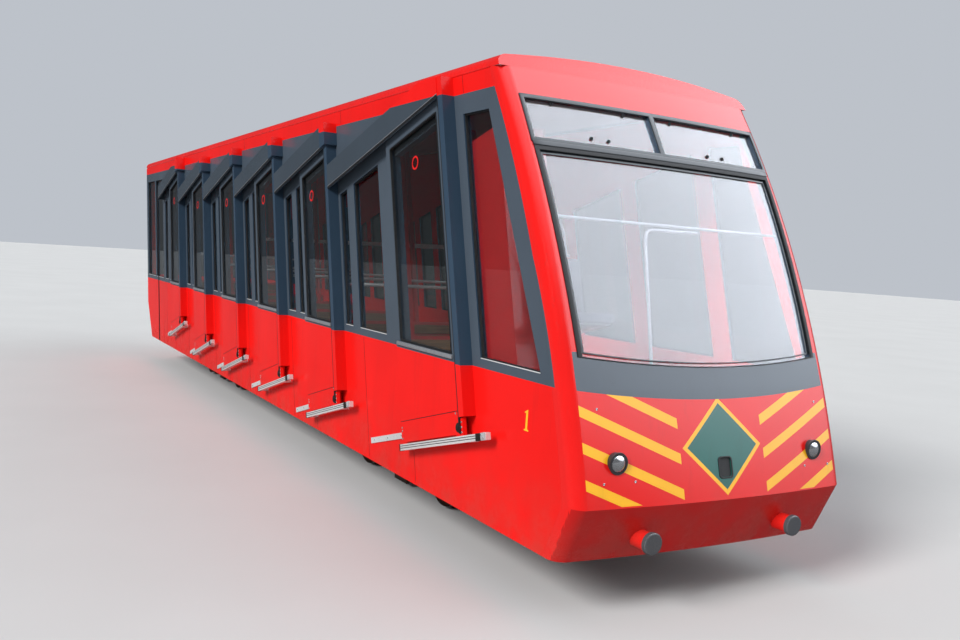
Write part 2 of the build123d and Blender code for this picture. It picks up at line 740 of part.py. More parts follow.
# Lamps, buffers and hatch of the valley end
lamp_front_x = datum_x + 14
lamp_depth = 90.0
lamp_bowl = 60.0
lens_radius = 52.0
with BuildPart() as headlamps:
    for side in (-1, 1):
        y = side * lamp_y
        with BuildSketch(Plane.XY.offset(datum_z)):
            Polygon((lamp_front_x - lamp_depth, y), (lamp_front_x - lamp_depth, y + lamp_radius - rest_gap),
                    (lamp_front_x - 8, y + lamp_radius - rest_gap), (lamp_front_x - 8, y + lamp_radius + 7),
                    (lamp_front_x, y + lamp_radius + 5), (lamp_front_x, y + lens_radius),
                    (lamp_front_x - 20, y + lens_radius), (lamp_front_x - lamp_bowl, y + 22),
                    (lamp_front_x - lamp_bowl, y), align=None)
        revolve(axis=Axis((0, y, datum_z), (1, 0, 0)), revolution_arc=360)
finish(headlamps, "headlamps")
with BuildPart() as lamp_glass:
    with BuildSketch(Plane.YZ.offset(lamp_front_x - 18)):
        with Locations((-lamp_y, datum_z), (lamp_y, datum_z)):
            Circle(lens_radius - rest_gap)
    extrude(amount=glass_thick)
finish(lamp_glass, "lamp_glass")
buffer_face_x = datum_x + 105
buffer_disc = 35.0
sleeve_length = 200.0
with BuildPart() as buffers:
    with BuildSketch(Plane.YZ.offset(buffer_face_x - buffer_disc - sleeve_length)):
        with Locations((-buffer_y, buffer_z), (buffer_y, buffer_z)):
            Circle(sleeve_radius - rest_gap)
    extrude(amount=sleeve_length)
    with BuildSketch(Plane.YZ.offset(buffer_face_x - buffer_disc)):
        with Locations((-buffer_y, buffer_z), (buffer_y, buffer_z)):
            Circle(buffer_radius)
    extrude(amount=buffer_disc)
    fillet(buffers.edges().filter_by(GeomType.CIRCLE).group_by(Axis.X)[-1], 12)
finish(buffers, "buffers")
hatch_low = hatch_z - hatch_height / 2
hatch_high = hatch_z + hatch_height / 2
hatch_low_x = nose_x(hatch_low) - hatch_recess
hatch_high_x = nose_x(hatch_high) - hatch_recess
hatch_sheet = 40.0
with BuildPart() as hatch_cover:
    with BuildSketch(Plane.YZ.offset(nose_x(hatch_z) - 100)):
        with Locations((0, hatch_z)):
            RectangleRounded(hatch_width - 2 * rest_gap, hatch_height - 2 * rest_gap, hatch_corner - rest_gap)
    extrude(amount=200)
    slab([(hatch_low_x - hatch_sheet, hatch_low), (hatch_low_x, hatch_low), (hatch_high_x, hatch_high),
          (hatch_high_x - hatch_sheet, hatch_high)], -hatch_width, hatch_width, Mode.INTERSECT)
finish(hatch_cover, "hatch_cover")

# Inside: benches against the risers, with slats, and a guard at each step's edge
bench_half = inner_half - 10
slat_half = bench_half - 20
seat_height = 400.0
seat_depth = 430.0
seat_sheet = 30.0
back_sheet = 25.0
back_height = 900.0
seat_slat = 84.0
seat_slat_pitch = 96.0
back_slat = 100.0
back_slat_pitch = 120.0
with BuildPart() as benches:
    for riser_h, floor_v in zip(riser_hs, floor_vs):
        seat_v = floor_v + seat_height
        back_v = seat_v + seat_sheet + rest_gap
        leg_h = riser_h + seat_depth - 2 * seat_sheet
        slab(level_box(riser_h, riser_h + seat_depth, seat_v, seat_v + seat_sheet), -bench_half, bench_half)
        slab(level_box(leg_h, leg_h + seat_sheet, floor_v, seat_v - rest_gap), -bench_half, bench_half)
        slab(level_box(riser_h, riser_h + back_sheet, back_v, floor_v + back_height), -bench_half, bench_half)
finish(benches, "benches")
with BuildPart() as bench_slats:
    for riser_h, floor_v in zip(riser_hs, floor_vs):
        top_v = floor_v + seat_height + seat_sheet
        for slat in range(4):
            h0 = riser_h + 45 + slat * seat_slat_pitch
            slab(level_box(h0, h0 + seat_slat, top_v, top_v + 20), -slat_half, slat_half)
        for slat in range(3):
            v0 = top_v + 90 + slat * back_slat_pitch
            slab(level_box(riser_h + back_sheet, riser_h + back_sheet + 18, v0, v0 + back_slat),
                 -slat_half, slat_half)
finish(bench_slats, "bench_slats")
guard_post = 45.0
guard_ys = (-430, 430)
guard_rail_v = 950.0
guard_rail_radius = 17.0
with BuildPart() as guard_posts:
    for riser_h, floor_v in zip(riser_hs, floor_vs[1:]):
        h0 = riser_h - guard_post - 5
        h1 = riser_h - 5
        for y in guard_ys:
            slab([level_point(h0, floor_v), level_point(h1, floor_v), upright_point(h1, wall_top_z + 30),
                  upright_point(h0, wall_top_z + 30)], y - guard_post / 2, y + guard_post / 2)
finish(guard_posts, "guard_posts")
with BuildPart() as guard_rails:
    for riser_h, floor_v in zip(riser_hs, floor_vs[1:]):
        x, z = level_point(riser_h - 5 + guard_rail_radius + rest_gap, floor_v + guard_rail_v)
        with BuildSketch(Plane.XZ.offset(-inner_half)) as outline:
            with Locations((x, z)):
                Circle(guard_rail_radius)
        extrude(outline.sketch, amount=2 * inner_half)
finish(guard_rails, "guard_rails")

# Driver's place at the valley end: a tall cabinet by the door side and a seat in front of it
cab_v = floor_vs[0]
cabinet_front_h = -640.0
cabinet_depth = 420.0
cabinet_width = 365.0
cabinet_height = 1900.0
cabinet_y = -inner_half + 5
cabinet_back_h = cabinet_front_h - cabinet_depth
with BuildPart() as cab_cabinet:
    slab(level_box(cabinet_back_h, cabinet_front_h, cab_v, cab_v + cabinet_height), cabinet_y,
         cabinet_y + cabinet_width)
finish(cab_cabinet, "cab_cabinet")
chair_h = cabinet_front_h + 20
chair_y = -inner_half + 320
chair_half = 200.0
chair_depth = 400.0
chair_height = 440.0
chair_pad = 80.0
chair_column = 80.0
chair_back = 520.0
with BuildPart() as driver_seat:
    pad_v = cab_v + chair_height
    column_h = chair_h + (chair_depth - chair_column) / 2
    slab(level_box(column_h, column_h + chair_column, cab_v, pad_v), chair_y - chair_column / 2,
         chair_y + chair_column / 2)
    slab(level_box(chair_h, chair_h + chair_depth, pad_v, pad_v + chair_pad),
         chair_y - chair_half, chair_y + chair_half)
    slab(level_box(chair_h, chair_h + chair_pad, pad_v + chair_pad, pad_v + chair_back),
         chair_y - chair_half, chair_y + chair_half)
finish(driver_seat, "driver_seat")
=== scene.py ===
import math

import bpy
from mathutils import Matrix, Vector


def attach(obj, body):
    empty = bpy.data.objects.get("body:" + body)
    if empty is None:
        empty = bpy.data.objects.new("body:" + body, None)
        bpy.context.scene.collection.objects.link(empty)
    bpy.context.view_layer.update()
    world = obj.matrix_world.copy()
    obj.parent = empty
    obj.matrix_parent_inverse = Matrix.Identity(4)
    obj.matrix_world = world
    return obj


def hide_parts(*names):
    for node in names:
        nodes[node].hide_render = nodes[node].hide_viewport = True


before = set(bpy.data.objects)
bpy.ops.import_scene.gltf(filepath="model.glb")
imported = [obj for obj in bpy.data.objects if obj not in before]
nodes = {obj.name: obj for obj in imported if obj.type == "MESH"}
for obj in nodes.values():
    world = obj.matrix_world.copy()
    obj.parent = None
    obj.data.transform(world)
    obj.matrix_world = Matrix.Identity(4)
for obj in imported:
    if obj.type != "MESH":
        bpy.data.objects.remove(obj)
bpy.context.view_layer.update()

# The car's own measures in metres. The pair (h, v) runs along and above the level of the floors.
car = {
    "slope": math.radians(15.3), "datumX": 7.0, "datumZ": 1.02, "halfWidth": 1.15,
    "waist": 1.438, "bandTop": 3.35, "wallTop": 3.49, "sill": 1.5, "pitch": 1.6,
    "firstFloor": 0.44, "lastStep": 0.54, "tailH": -13.03,
}
postHs = [-1.12] + [-3.45 - n * car["pitch"] for n in range(6)]
floorVs = [car["firstFloor"] + n * car["pitch"] * math.tan(car["slope"]) for n in range(5)]
floorVs.append(floorVs[4] + car["lastStep"])
doorWidths = [0.99] + [0.79] * 5
doorTravels = [0.84] + [0.64] * 5
leafRights = [h - 0.11 for h in postHs[:6]]
leafLefts = [right - width for right, width in zip(leafRights, doorWidths)]
leafOuterY = -1.206
doorBodies = [f"door_leaf_{n}" for n in range(1, 7)]


# X and Z of a point given along the level.
def level(h, v):
    a = car["slope"]
    return (car["datumX"] + h * math.cos(a) - v * math.sin(a),
            car["datumZ"] + h * math.sin(a) + v * math.cos(a))


# X and Z of the point at height z on the upright line at h.
def upright(h, z):
    a = car["slope"]
    return level(h, (z - car["datumZ"] - h * math.sin(a)) / math.cos(a))


def levelBox(h0, h1, v0, v1):
    return [level(h0, v0), level(h1, v0), level(h1, v1), level(h0, v1)]


# Surface of the valley end: an arc in side view, swung about a far upright axis
nose = {"axisX": -3.915, "crest": (7.085, 0.76), "middle": (6.625, 2.146), "top": (5.833, 3.57),
        "chin": (6.917, 0.4)}


def arcThrough(p, q, r):
    (x1, z1), (x2, z2), (x3, z3) = p, q, r
    d = 2 * (x1 * (z2 - z3) + x2 * (z3 - z1) + x3 * (z1 - z2))
    s1, s2, s3 = x1 * x1 + z1 * z1, x2 * x2 + z2 * z2, x3 * x3 + z3 * z3
    cx = (s1 * (z2 - z3) + s2 * (z3 - z1) + s3 * (z1 - z2)) / d
    cz = (s1 * (x3 - x2) + s2 * (x1 - x3) + s3 * (x2 - x1)) / d
    return cx, cz, math.hypot(x1 - cx, z1 - cz)


arcX, arcZ, arcRadius = arcThrough(nose["crest"], nose["middle"], nose["top"])


# X of the valley end's surface at y and z.
def noseX(y, z):
    crestX, crestZ = nose["crest"]
    if z >= crestZ:
        middle = arcX + math.sqrt(arcRadius ** 2 - (z - arcZ) ** 2)
    else:
        chinX, chinZ = nose["chin"]
        middle = crestX + (crestZ - z) / (crestZ - chinZ) * (chinX - crestX)
    return nose["axisX"] + math.sqrt((middle - nose["axisX"]) ** 2 - y * y)


# Shader groups: each effect is built once and placed in the materials with its own values
socketKinds = {1: "NodeSocketFloat", 3: "NodeSocketVector", 4: "NodeSocketColor"}


# A group whose sockets' kinds follow from their values; outputs gives each result's length.
def newGroup(name, outputs, **inputs):
    group = bpy.data.node_groups.new(name, "ShaderNodeTree")
    for label, value in inputs.items():
        kind = socketKinds[len(value) if isinstance(value, tuple) else 1]
        group.interface.new_socket(name=label, in_out="INPUT", socket_type=kind).default_value = value
    for label, length in outputs.items():
        group.interface.new_socket(name=label, in_out="OUTPUT", socket_type=socketKinds[length])
    given, result = group.nodes.new("NodeGroupInput"), group.nodes.new("NodeGroupOutput")
    return group, given.outputs, result.inputs


# Links a node's socket, or sets a plain value.
def connect(tree, source, target):
    if isinstance(source, bpy.types.NodeSocket):
        tree.links.new(source, target)
    else:
        target.default_value = source


def math2(tree, kind, a, b=None, clamp=False):
    node = tree.nodes.new("ShaderNodeMath")
    node.operation = kind
    node.use_clamp = clamp
    connect(tree, a, node.inputs[0])
    if b is not None:
        connect(tree, b, node.inputs[1])
    return node.outputs[0]


def blendColours(tree, factor, first, second, kind="MIX"):
    node = tree.nodes.new("ShaderNodeMix")
    node.data_type = "RGBA"
    node.blend_type = kind
    connect(tree, factor, node.inputs["Factor"])
    connect(tree, first, node.inputs["A"])
    connect(tree, second, node.inputs["B"])
    return node.outputs["Result"]


def remap(tree, value, low, high, toLow=0.0, toHigh=1.0):
    node = tree.nodes.new("ShaderNodeMapRange")
    for target, source in zip(("Value", "From Min", "From Max", "To Min", "To Max"),
                              (value, low, high, toLow, toHigh)):
        connect(tree, source, node.inputs[target])
    return node.outputs["Result"]


def objectPoint(tree, stretch=(1, 1, 1)):
    coords = tree.nodes.new("ShaderNodeTexCoord")
    mapping = tree.nodes.new("ShaderNodeMapping")
    mapping.inputs["Scale"].default_value = stretch
    tree.links.new(coords.outputs["Object"], mapping.inputs["Vector"])
    return mapping.outputs["Vector"]


def separate(tree, vector):
    node = tree.nodes.new("ShaderNodeSeparateXYZ")
    tree.links.new(vector, node.inputs[0])
    return node.outputs


def noise(tree, vector, scale, detail=4.0, roughness=0.55):
    node = tree.nodes.new("ShaderNodeTexNoise")
    tree.links.new(vector, node.inputs["Vector"])
    connect(tree, scale, node.inputs["Scale"])
    connect(tree, detail, node.inputs["Detail"])
    connect(tree, roughness, node.inputs["Roughness"])
    return node.outputs["Fac"]


# Road dust: most at the foot of a piece, broken up by noise.
def buildLowDust():
    group, given, result = newGroup("lowDust", {"Mask": 1}, Foot=0.3, Head=1.2, Amount=0.5, Scale=3.0)
    point = objectPoint(group)
    fade = remap(group, separate(group, point)[2], given["Foot"], given["Head"], 1.0, 0.0)
    cloud = remap(group, noise(group, point, given["Scale"], 6.0), 0.35, 0.7)
    spread = math2(group, "MULTIPLY", math2(group, "POWER", fade, 1.6), cloud, True)
    group.links.new(math2(group, "MULTIPLY", spread, given["Amount"], True), result["Mask"])
    return group


# Thin marks that rain leaves as it runs down a wall.
def buildStreaks():
    group, given, result = newGroup("rainStreaks", {"Mask": 1}, Amount=0.3, Fineness=9.0)
    point = objectPoint(group, (1, 1, 0.06))
    fine = remap(group, noise(group, point, given["Fineness"], 8.0, 0.7), 0.52, 0.78)
    patch = remap(group, noise(group, objectPoint(group), 0.9, 2.0), 0.4, 0.65)
    mask = math2(group, "MULTIPLY", fine, patch, True)
    group.links.new(math2(group, "MULTIPLY", mask, given["Amount"], True), result["Mask"])
    return group


# A fine surface grain, drawn out along one direction for brushed or rolled metal.
def buildGrain():
    group, given, result = newGroup("surfaceGrain", {"Height": 1, "Roughness": 1}, Stretch=(1.0, 1.0, 1.0),
                                    Scale=200.0, Low=0.25, High=0.45)
    coords = group.nodes.new("ShaderNodeTexCoord")
    scaled = group.nodes.new("ShaderNodeVectorMath")
    scaled.operation = "MULTIPLY"
    group.links.new(coords.outputs["Object"], scaled.inputs[0])
    group.links.new(given["Stretch"], scaled.inputs[1])
    value = noise(group, scaled.outputs[0], given["Scale"], 5.0)
    group.links.new(value, result["Height"])
    group.links.new(remap(group, value, 0.3, 0.7, given["Low"], given["High"]), result["Roughness"])
    return group


# Slow change of a paint's tone over metres, and small specks in it.
def buildFade():
    group, given, result = newGroup("paintTone", {"Colour": 4}, Colour=(0.5, 0.5, 0.5, 1), Dark=0.85,
                                    Light=1.08, Specks=0.15)
    point = objectPoint(group)
    slow = remap(group, noise(group, point, 0.8, 3.0), 0.3, 0.7, given["Dark"], given["Light"])
    toned = blendColours(group, 1.0, given["Colour"], slow, "MULTIPLY")
    speck = remap(group, noise(group, point, 90.0, 2.0), 0.66, 0.74)
    amount = math2(group, "MULTIPLY", speck, given["Specks"], True)
    group.links.new(blendColours(group, amount, toned, (0.02, 0.018, 0.015, 1)), result["Colour"])
    return group


groups = {"dust": buildLowDust(), "streaks": buildStreaks(), "grain": buildGrain(), "tone": buildFade()}


def place(tree, key, **values):
    node = tree.nodes.new("ShaderNodeGroup")
    node.node_tree = groups[key]
    for label, value in values.items():
        connect(tree, value, node.inputs[label])
    return node.outputs


# A material with its shader, plain values set on the shader's own sockets.
def newMaterial(name, **values):
    material = bpy.data.materials.new(name)
    material.use_nodes = True
    shader = material.node_tree.nodes["Principled BSDF"]
    for label, value in values.items():
        shader.inputs[label.replace("_", " ")].default_value = value
    return material, material.node_tree, shader


def addBump(tree, shader, height, strength, distance):
    bump = tree.nodes.new("ShaderNodeBump")
    bump.inputs["Strength"].default_value = strength
    bump.inputs["Distance"].default_value = distance
    tree.links.new(height, bump.inputs["Height"])
    tree.links.new(bump.outputs["Normal"], shader.inputs["Normal"])


# Tone, streaks and dust over a colour, with grain in its gloss and relief.
def finishSurface(tree, shader, colour, settings):
    toned = place(tree, "tone", Colour=colour, Dark=settings["dark"], Light=settings["light"],
                  Specks=settings["specks"])["Colour"]
    streaks = place(tree, "streaks", Amount=settings["streaks"], Fineness=9.0)["Mask"]
    dust = place(tree, "dust", Foot=settings["dustFoot"], Head=settings["dustHead"],
                 Amount=settings["dust"], Scale=3.5)["Mask"]
    marked = blendColours(tree, streaks, toned, (0.03, 0.028, 0.025, 1))
    dusty = blendColours(tree, dust, marked, (0.11, 0.085, 0.06, 1))
    tree.links.new(dusty, shader.inputs["Base Color"])
    grain = place(tree, "grain", Stretch=settings["stretch"], Scale=settings["grainScale"],
                  Low=settings["roughLow"], High=settings["roughHigh"])
    rough = math2(tree, "ADD", grain["Roughness"], math2(tree, "MULTIPLY", dust, 0.5), True)
    tree.links.new(rough, shader.inputs["Roughness"])
    addBump(tree, shader, grain["Height"], settings["bump"], settings["bumpDistance"])


paint = {
    "red": (0.80, 0.010, 0.008, 1), "deepRed": (0.42, 0.010, 0.010, 1),
    "grey": (0.066, 0.085, 0.108, 1), "slate": (0.034, 0.060, 0.094, 1),
    "coverGrey": (0.048, 0.063, 0.080, 1), "yellow": (1.0, 0.50, 0.02, 1),
    "green": (0.014, 0.12, 0.10, 1), "ceiling": (0.30, 0.31, 0.33, 1),
    "seam": (0.10, 0.006, 0.006, 1), "chinShade": (0.62, 0.55, 0.55, 1),
    "bufferHead": (0.075, 0.08, 0.09, 1),
}
glossPaint = {"dark": 0.90, "light": 1.05, "specks": 0.10, "streaks": 0.22, "dust": 0.35,
              "dustFoot": 0.35, "dustHead": 1.1, "stretch": (1, 1, 1), "grainScale": 260.0,
              "roughLow": 0.16, "roughHigh": 0.26, "bump": 0.04, "bumpDistance": 0.0006}


def above(tree, value, limit):
    return math2(tree, "GREATER_THAN", value, limit)


def below(tree, value, limit):
    return math2(tree, "LESS_THAN", value, limit)


def size(tree, value):
    return math2(tree, "ABSOLUTE", value)


def minus(tree, first, second):
    return math2(tree, "SUBTRACT", first, second)


def over(tree, first, second):
    return math2(tree, "DIVIDE", first, second)


def times(tree, first, *others):
    for other in others:
        first = math2(tree, "MULTIPLY", first, other)
    return first


# A colour with further ones laid on it where their masks are 1.
def layered(tree, colour, *layers):
    for mask, laid in layers:
        colour = blendColours(tree, mask, colour, laid)
    return colour


def trueNormal(tree):
    return separate(tree, tree.nodes.new("ShaderNodeNewGeometry").outputs["True Normal"])


# Red paint with a grey band on the outer faces; if asked for, the faces across the wall at the openings'
# edges, within the window band, are painted slate as painted shade of the recesses.
def buildBodyPaint(name, grey, outerLimit, greyFrom, capDrop=0.0, paintedRevealShade=False):
    limits = {"rearFrom": 5.0, "across": 0.5, "sillDrop": 0.02, "revealTop": 3.32}
    material, tree, shader = newMaterial(name, Specular_IOR_Level=0.16)
    x, y, z = separate(tree, objectPoint(tree))
    head = minus(tree, car["bandTop"], times(tree, below(tree, x, limits["rearFrom"]), capDrop))
    band = times(tree, above(tree, z, greyFrom), below(tree, z, head), above(tree, size(tree, y), outerLimit))
    colour = layered(tree, paint["red"], (band, grey))
    if paintedRevealShade:
        # Painted shade: faces across the wall between sill and band top turn slate
        cut = times(tree, below(tree, size(tree, trueNormal(tree)[1]), limits["across"]),
                    above(tree, z, car["sill"] - limits["sillDrop"]), above(tree, limits["revealTop"], z))
        colour = layered(tree, colour, (cut, paint["slate"]))
    finishSurface(tree, shader, colour, glossPaint)
    return material


# Valley end: grey band with a bowed lower edge between red corners, and the front's own design.
def buildNosePaint():
    design = {"bandHalf": 1.07, "bandTop": 1.66, "edgeZ": 1.436, "bow": 0.062, "stripePitch": 0.21,
              "stripeShare": 0.30, "stripeSlope": 0.42, "stripeFrom": 0.36, "designFoot": 0.77,
              "lozengeHalf": 0.30, "lozengeHeight": 0.265, "lozengeZ": 1.085, "rim": 1.13}
    corner = {"outside": 1.145, "edgeX": 6.885, "edgeZ": 0.76, "slope": 0.13, "curve": 0.142}
    faces = {"chinAhead": 0.3, "innerAhead": 0.4, "innerHalf": 1.10, "innerFoot": 1.45}
    material, tree, shader = newMaterial("nosePaint", Specular_IOR_Level=0.55)
    x, y, z = separate(tree, objectPoint(tree))
    side = size(tree, y)
    share = over(tree, y, design["bandHalf"])
    drop = times(tree, minus(tree, 1.0, times(tree, share, share)), design["bow"])
    foot = minus(tree, design["edgeZ"], drop)
    inside = below(tree, side, design["bandHalf"])
    band = times(tree, inside, above(tree, z, foot), below(tree, z, design["bandTop"]))
    # Chevron stripes that rise towards both corners
    ramp = minus(tree, z, times(tree, side, design["stripeSlope"]))
    wave = math2(tree, "FRACT", over(tree, ramp, design["stripePitch"]))
    field = times(tree, inside, below(tree, z, foot), above(tree, z, design["designFoot"]))
    stripes = times(tree, below(tree, wave, design["stripeShare"]), field,
                    above(tree, side, design["stripeFrom"]))
    # A lozenge with a rim in the middle
    reach = math2(tree, "ADD", over(tree, side, design["lozengeHalf"]),
                  over(tree, size(tree, minus(tree, z, design["lozengeZ"])), design["lozengeHeight"]))
    rim = times(tree, below(tree, reach, design["rim"]), field)
    lozenge = times(tree, below(tree, reach, 1.0), field)
    # The side faces of the corner turn grey behind the red strip, within the window band
    lift = minus(tree, z, corner["edgeZ"])
    edge = minus(tree, corner["edgeX"], times(tree, lift, corner["slope"]))
    edge = minus(tree, edge, times(tree, lift, lift, corner["curve"]))
    sideBand = times(tree, above(tree, side, corner["outside"]), below(tree, x, edge),
                     above(tree, z, car["waist"]), below(tree, z, car["bandTop"]))
    colour = layered(tree, paint["red"], (band, paint["grey"]), (stripes, paint["yellow"]),
                     (rim, paint["yellow"]), (lozenge, paint["green"]), (sideBand, paint["grey"]))
    # Painted shade: the chin's faces that look ahead, below the crest, are darkened with chinShade, and the
    # inner faces at the openings' edges are painted slate as painted shade of the recesses
    ahead = trueNormal(tree)[0]
    chin = times(tree, above(tree, ahead, faces["chinAhead"]), below(tree, z, nose["crest"][1]))
    # Painted shade: the chin darkened by multiplying with chinShade
    colour = blendColours(tree, chin, colour, paint["chinShade"], "MULTIPLY")
    # Painted shade: faces inside the openings that don't look ahead are painted slate
    inner = times(tree, below(tree, ahead, faces["innerAhead"]), below(tree, side, faces["innerHalf"]),
                  above(tree, z, faces["innerFoot"]))
    finishSurface(tree, shader, layered(tree, colour, (inner, paint["slate"])), glossPaint)
    return material


# Red outside with fine seams across, and a pale lining below.
def buildRoofPaint():
    seams = {"pitch": 3.087, "shift": 12.0, "share": 0.0016, "liningNormal": -0.3}
    material, tree, shader = newMaterial("roofPaint", Specular_IOR_Level=0.5)
    down = below(tree, trueNormal(tree)[2], seams["liningNormal"])
    along = math2(tree, "ADD", separate(tree, objectPoint(tree))[0], seams["shift"])
    seam = below(tree, math2(tree, "FRACT", over(tree, along, seams["pitch"])), seams["share"])
    colour = layered(tree, paint["red"], (seam, paint["seam"]), (down, paint["ceiling"]))
    finishSurface(tree, shader, colour, {**glossPaint, "dust": 0.0, "streaks": 0.3, "roughHigh": 0.34})
    return material


# Red sleeves with a dark head.
def buildBufferPaint():
    headFrom = 7.072
    material, tree, shader = newMaterial("bufferPaint", Specular_IOR_Level=0.3)
    head = above(tree, separate(tree, objectPoint(tree))[0], headFrom)
    finishSurface(tree, shader, layered(tree, paint["red"], (head, paint["bufferHead"])), glossPaint)
    return material


# The same surface with another gloss.
def glossed(surface, low, high, **others):
    return {**surface, "roughLow": low, "roughHigh": high, **others}


metalSurface = {"dark": 0.85, "light": 1.05, "specks": 0.15, "streaks": 0.1, "dust": 0.25,
                "dustFoot": 0.3, "dustHead": 1.2, "stretch": (2, 40, 40), "grainScale": 12.0,
                "roughLow": 0.22, "roughHigh": 0.42, "bump": 0.08, "bumpDistance": 0.0005}
rubberSurface = glossed(glossPaint, 0.55, 0.75, grainScale=400.0, bump=0.12, streaks=0.25, dust=0.3)
gearSurface = glossed(glossPaint, 0.45, 0.75, dark=0.6, light=1.3, specks=0.4, grainScale=60.0, bump=0.35,
                      bumpDistance=0.002, dust=0.75, dustFoot=0.0, dustHead=0.7, streaks=0.3)
indoorSurface = glossed(glossPaint, 0.3, 0.45, dust=0.0, streaks=0.0)


# Clear glass with faint wipe marks in its gloss; three quarters of the light passes it.
def buildGlass(name, tint, rough, index=1.45, clear=1.0):
    marks = {"stretch": (1, 1, 3), "scale": 2.5, "detail": 5.0, "low": 0.45, "high": 0.75, "shade": 0.25}
    material, tree, shader = newMaterial(name, Transmission_Weight=clear, IOR=index, Base_Color=tint)
    wiped = noise(tree, objectPoint(tree, marks["stretch"]), marks["scale"], marks["detail"])
    tree.links.new(remap(tree, wiped, marks["low"], marks["high"], 0.0, rough), shader.inputs["Roughness"])
    shadowRay = tree.nodes.new("ShaderNodeLightPath").outputs["Is Shadow Ray"]
    tree.links.new(remap(tree, shadowRay, 0.0, 1.0, 1.0, marks["shade"]), shader.inputs["Alpha"])
    return material


# Lacquered slats with grain along their length.
def buildWood(name, colour, deep):
    wood = {"stretch": (30, 1.2, 30), "scale": 3.0, "detail": 6.0, "noise": 0.6, "low": 0.35, "high": 0.65,
            "rough": 0.5, "smooth": 0.35, "bump": 0.15, "bumpDistance": 0.001}
    material, tree, shader = newMaterial(name, Coat_Weight=0.3, Coat_Roughness=0.2)
    rings = noise(tree, objectPoint(tree, wood["stretch"]), wood["scale"], wood["detail"], wood["noise"])
    lines = remap(tree, rings, wood["low"], wood["high"])
    tree.links.new(blendColours(tree, lines, deep, colour), shader.inputs["Base Color"])
    tree.links.new(remap(tree, lines, 0.0, 1.0, wood["rough"], wood["smooth"]), shader.inputs["Roughness"])
    addBump(tree, shader, lines, wood["bump"], wood["bumpDistance"])
    return material


# Woven seat cloth: two crossed thread waves and a scatter of lighter flecks.
def buildCloth(name, colour, fleck):
    cloth = {"threads": 260.0, "distortion": 1.0, "flecks": 60.0, "low": 0.6, "high": 0.68, "bump": 0.4,
             "bumpDistance": 0.001}
    material, tree, shader = newMaterial(name, Sheen_Weight=0.4, Roughness=0.85)
    point = objectPoint(tree)
    threads = []
    for direction in ("X", "Y"):
        wave = tree.nodes.new("ShaderNodeTexWave")
        wave.bands_direction = direction
        wave.inputs["Scale"].default_value = cloth["threads"]
        wave.inputs["Distortion"].default_value = cloth["distortion"]
        tree.links.new(point, wave.inputs["Vector"])
        threads.append(wave.outputs["Fac"])
    dots = remap(tree, noise(tree, point, cloth["flecks"], 2.0), cloth["low"], cloth["high"])
    tree.links.new(blendColours(tree, dots, colour, fleck), shader.inputs["Base Color"])
    addBump(tree, shader, math2(tree, "MAXIMUM", *threads), cloth["bump"], cloth["bumpDistance"])
    return material


# Rubber floor with round studs.
def buildFloor(name, colour, worn):
    studs = {"scale": 28.0, "inner": 0.28, "outer": 0.36, "wear": 4.0, "bump": 0.5, "bumpDistance": 0.002}
    material, tree, shader = newMaterial(name)
    spots = tree.nodes.new("ShaderNodeTexVoronoi")
    spots.inputs["Scale"].default_value = studs["scale"]
    spots.inputs["Randomness"].default_value = 0.0
    tree.links.new(objectPoint(tree), spots.inputs["Vector"])
    raised = remap(tree, spots.outputs["Distance"], studs["inner"], studs["outer"], 1.0, 0.0)
    wear = noise(tree, objectPoint(tree), studs["wear"], 5.0)
    tree.links.new(blendColours(tree, remap(tree, wear, 0.4, 0.7), colour, worn), shader.inputs["Base Color"])
    tree.links.new(remap(tree, wear, 0.3, 0.7, 0.5, 0.8), shader.inputs["Roughness"])
    addBump(tree, shader, raised, studs["bump"], studs["bumpDistance"])
    return material


# Dark cast centre and flange, bright worn tread.
def buildWheelSteel():
    wheel = {"treadFrom": 0.49, "treadTo": 0.577, "across": 0.5, "grain": 45.0, "shine": -0.35,
             "dark": (0.035, 0.028, 0.024, 1), "rust": (0.11, 0.055, 0.03, 1), "bright": (0.55, 0.54, 0.52, 1)}
    material, tree, shader = newMaterial("wheelSteel", Metallic=0.85)
    grain = noise(tree, objectPoint(tree), wheel["grain"], 6.0)
    rust = blendColours(tree, remap(tree, grain, 0.35, 0.7), wheel["dark"], wheel["rust"])
    y = size(tree, separate(tree, objectPoint(tree))[1])
    tread = times(tree, above(tree, y, wheel["treadFrom"]), below(tree, y, wheel["treadTo"]),
                  below(tree, size(tree, trueNormal(tree)[1]), wheel["across"]))
    tree.links.new(blendColours(tree, tread, rust, wheel["bright"]), shader.inputs["Base Color"])
    shine = math2(tree, "ADD", grain, times(tree, tread, wheel["shine"]))
    tree.links.new(remap(tree, shine, 0.0, 0.8, 0.2, 0.75), shader.inputs["Roughness"])
    addBump(tree, shader, grain, 0.3, 0.001)
    return material


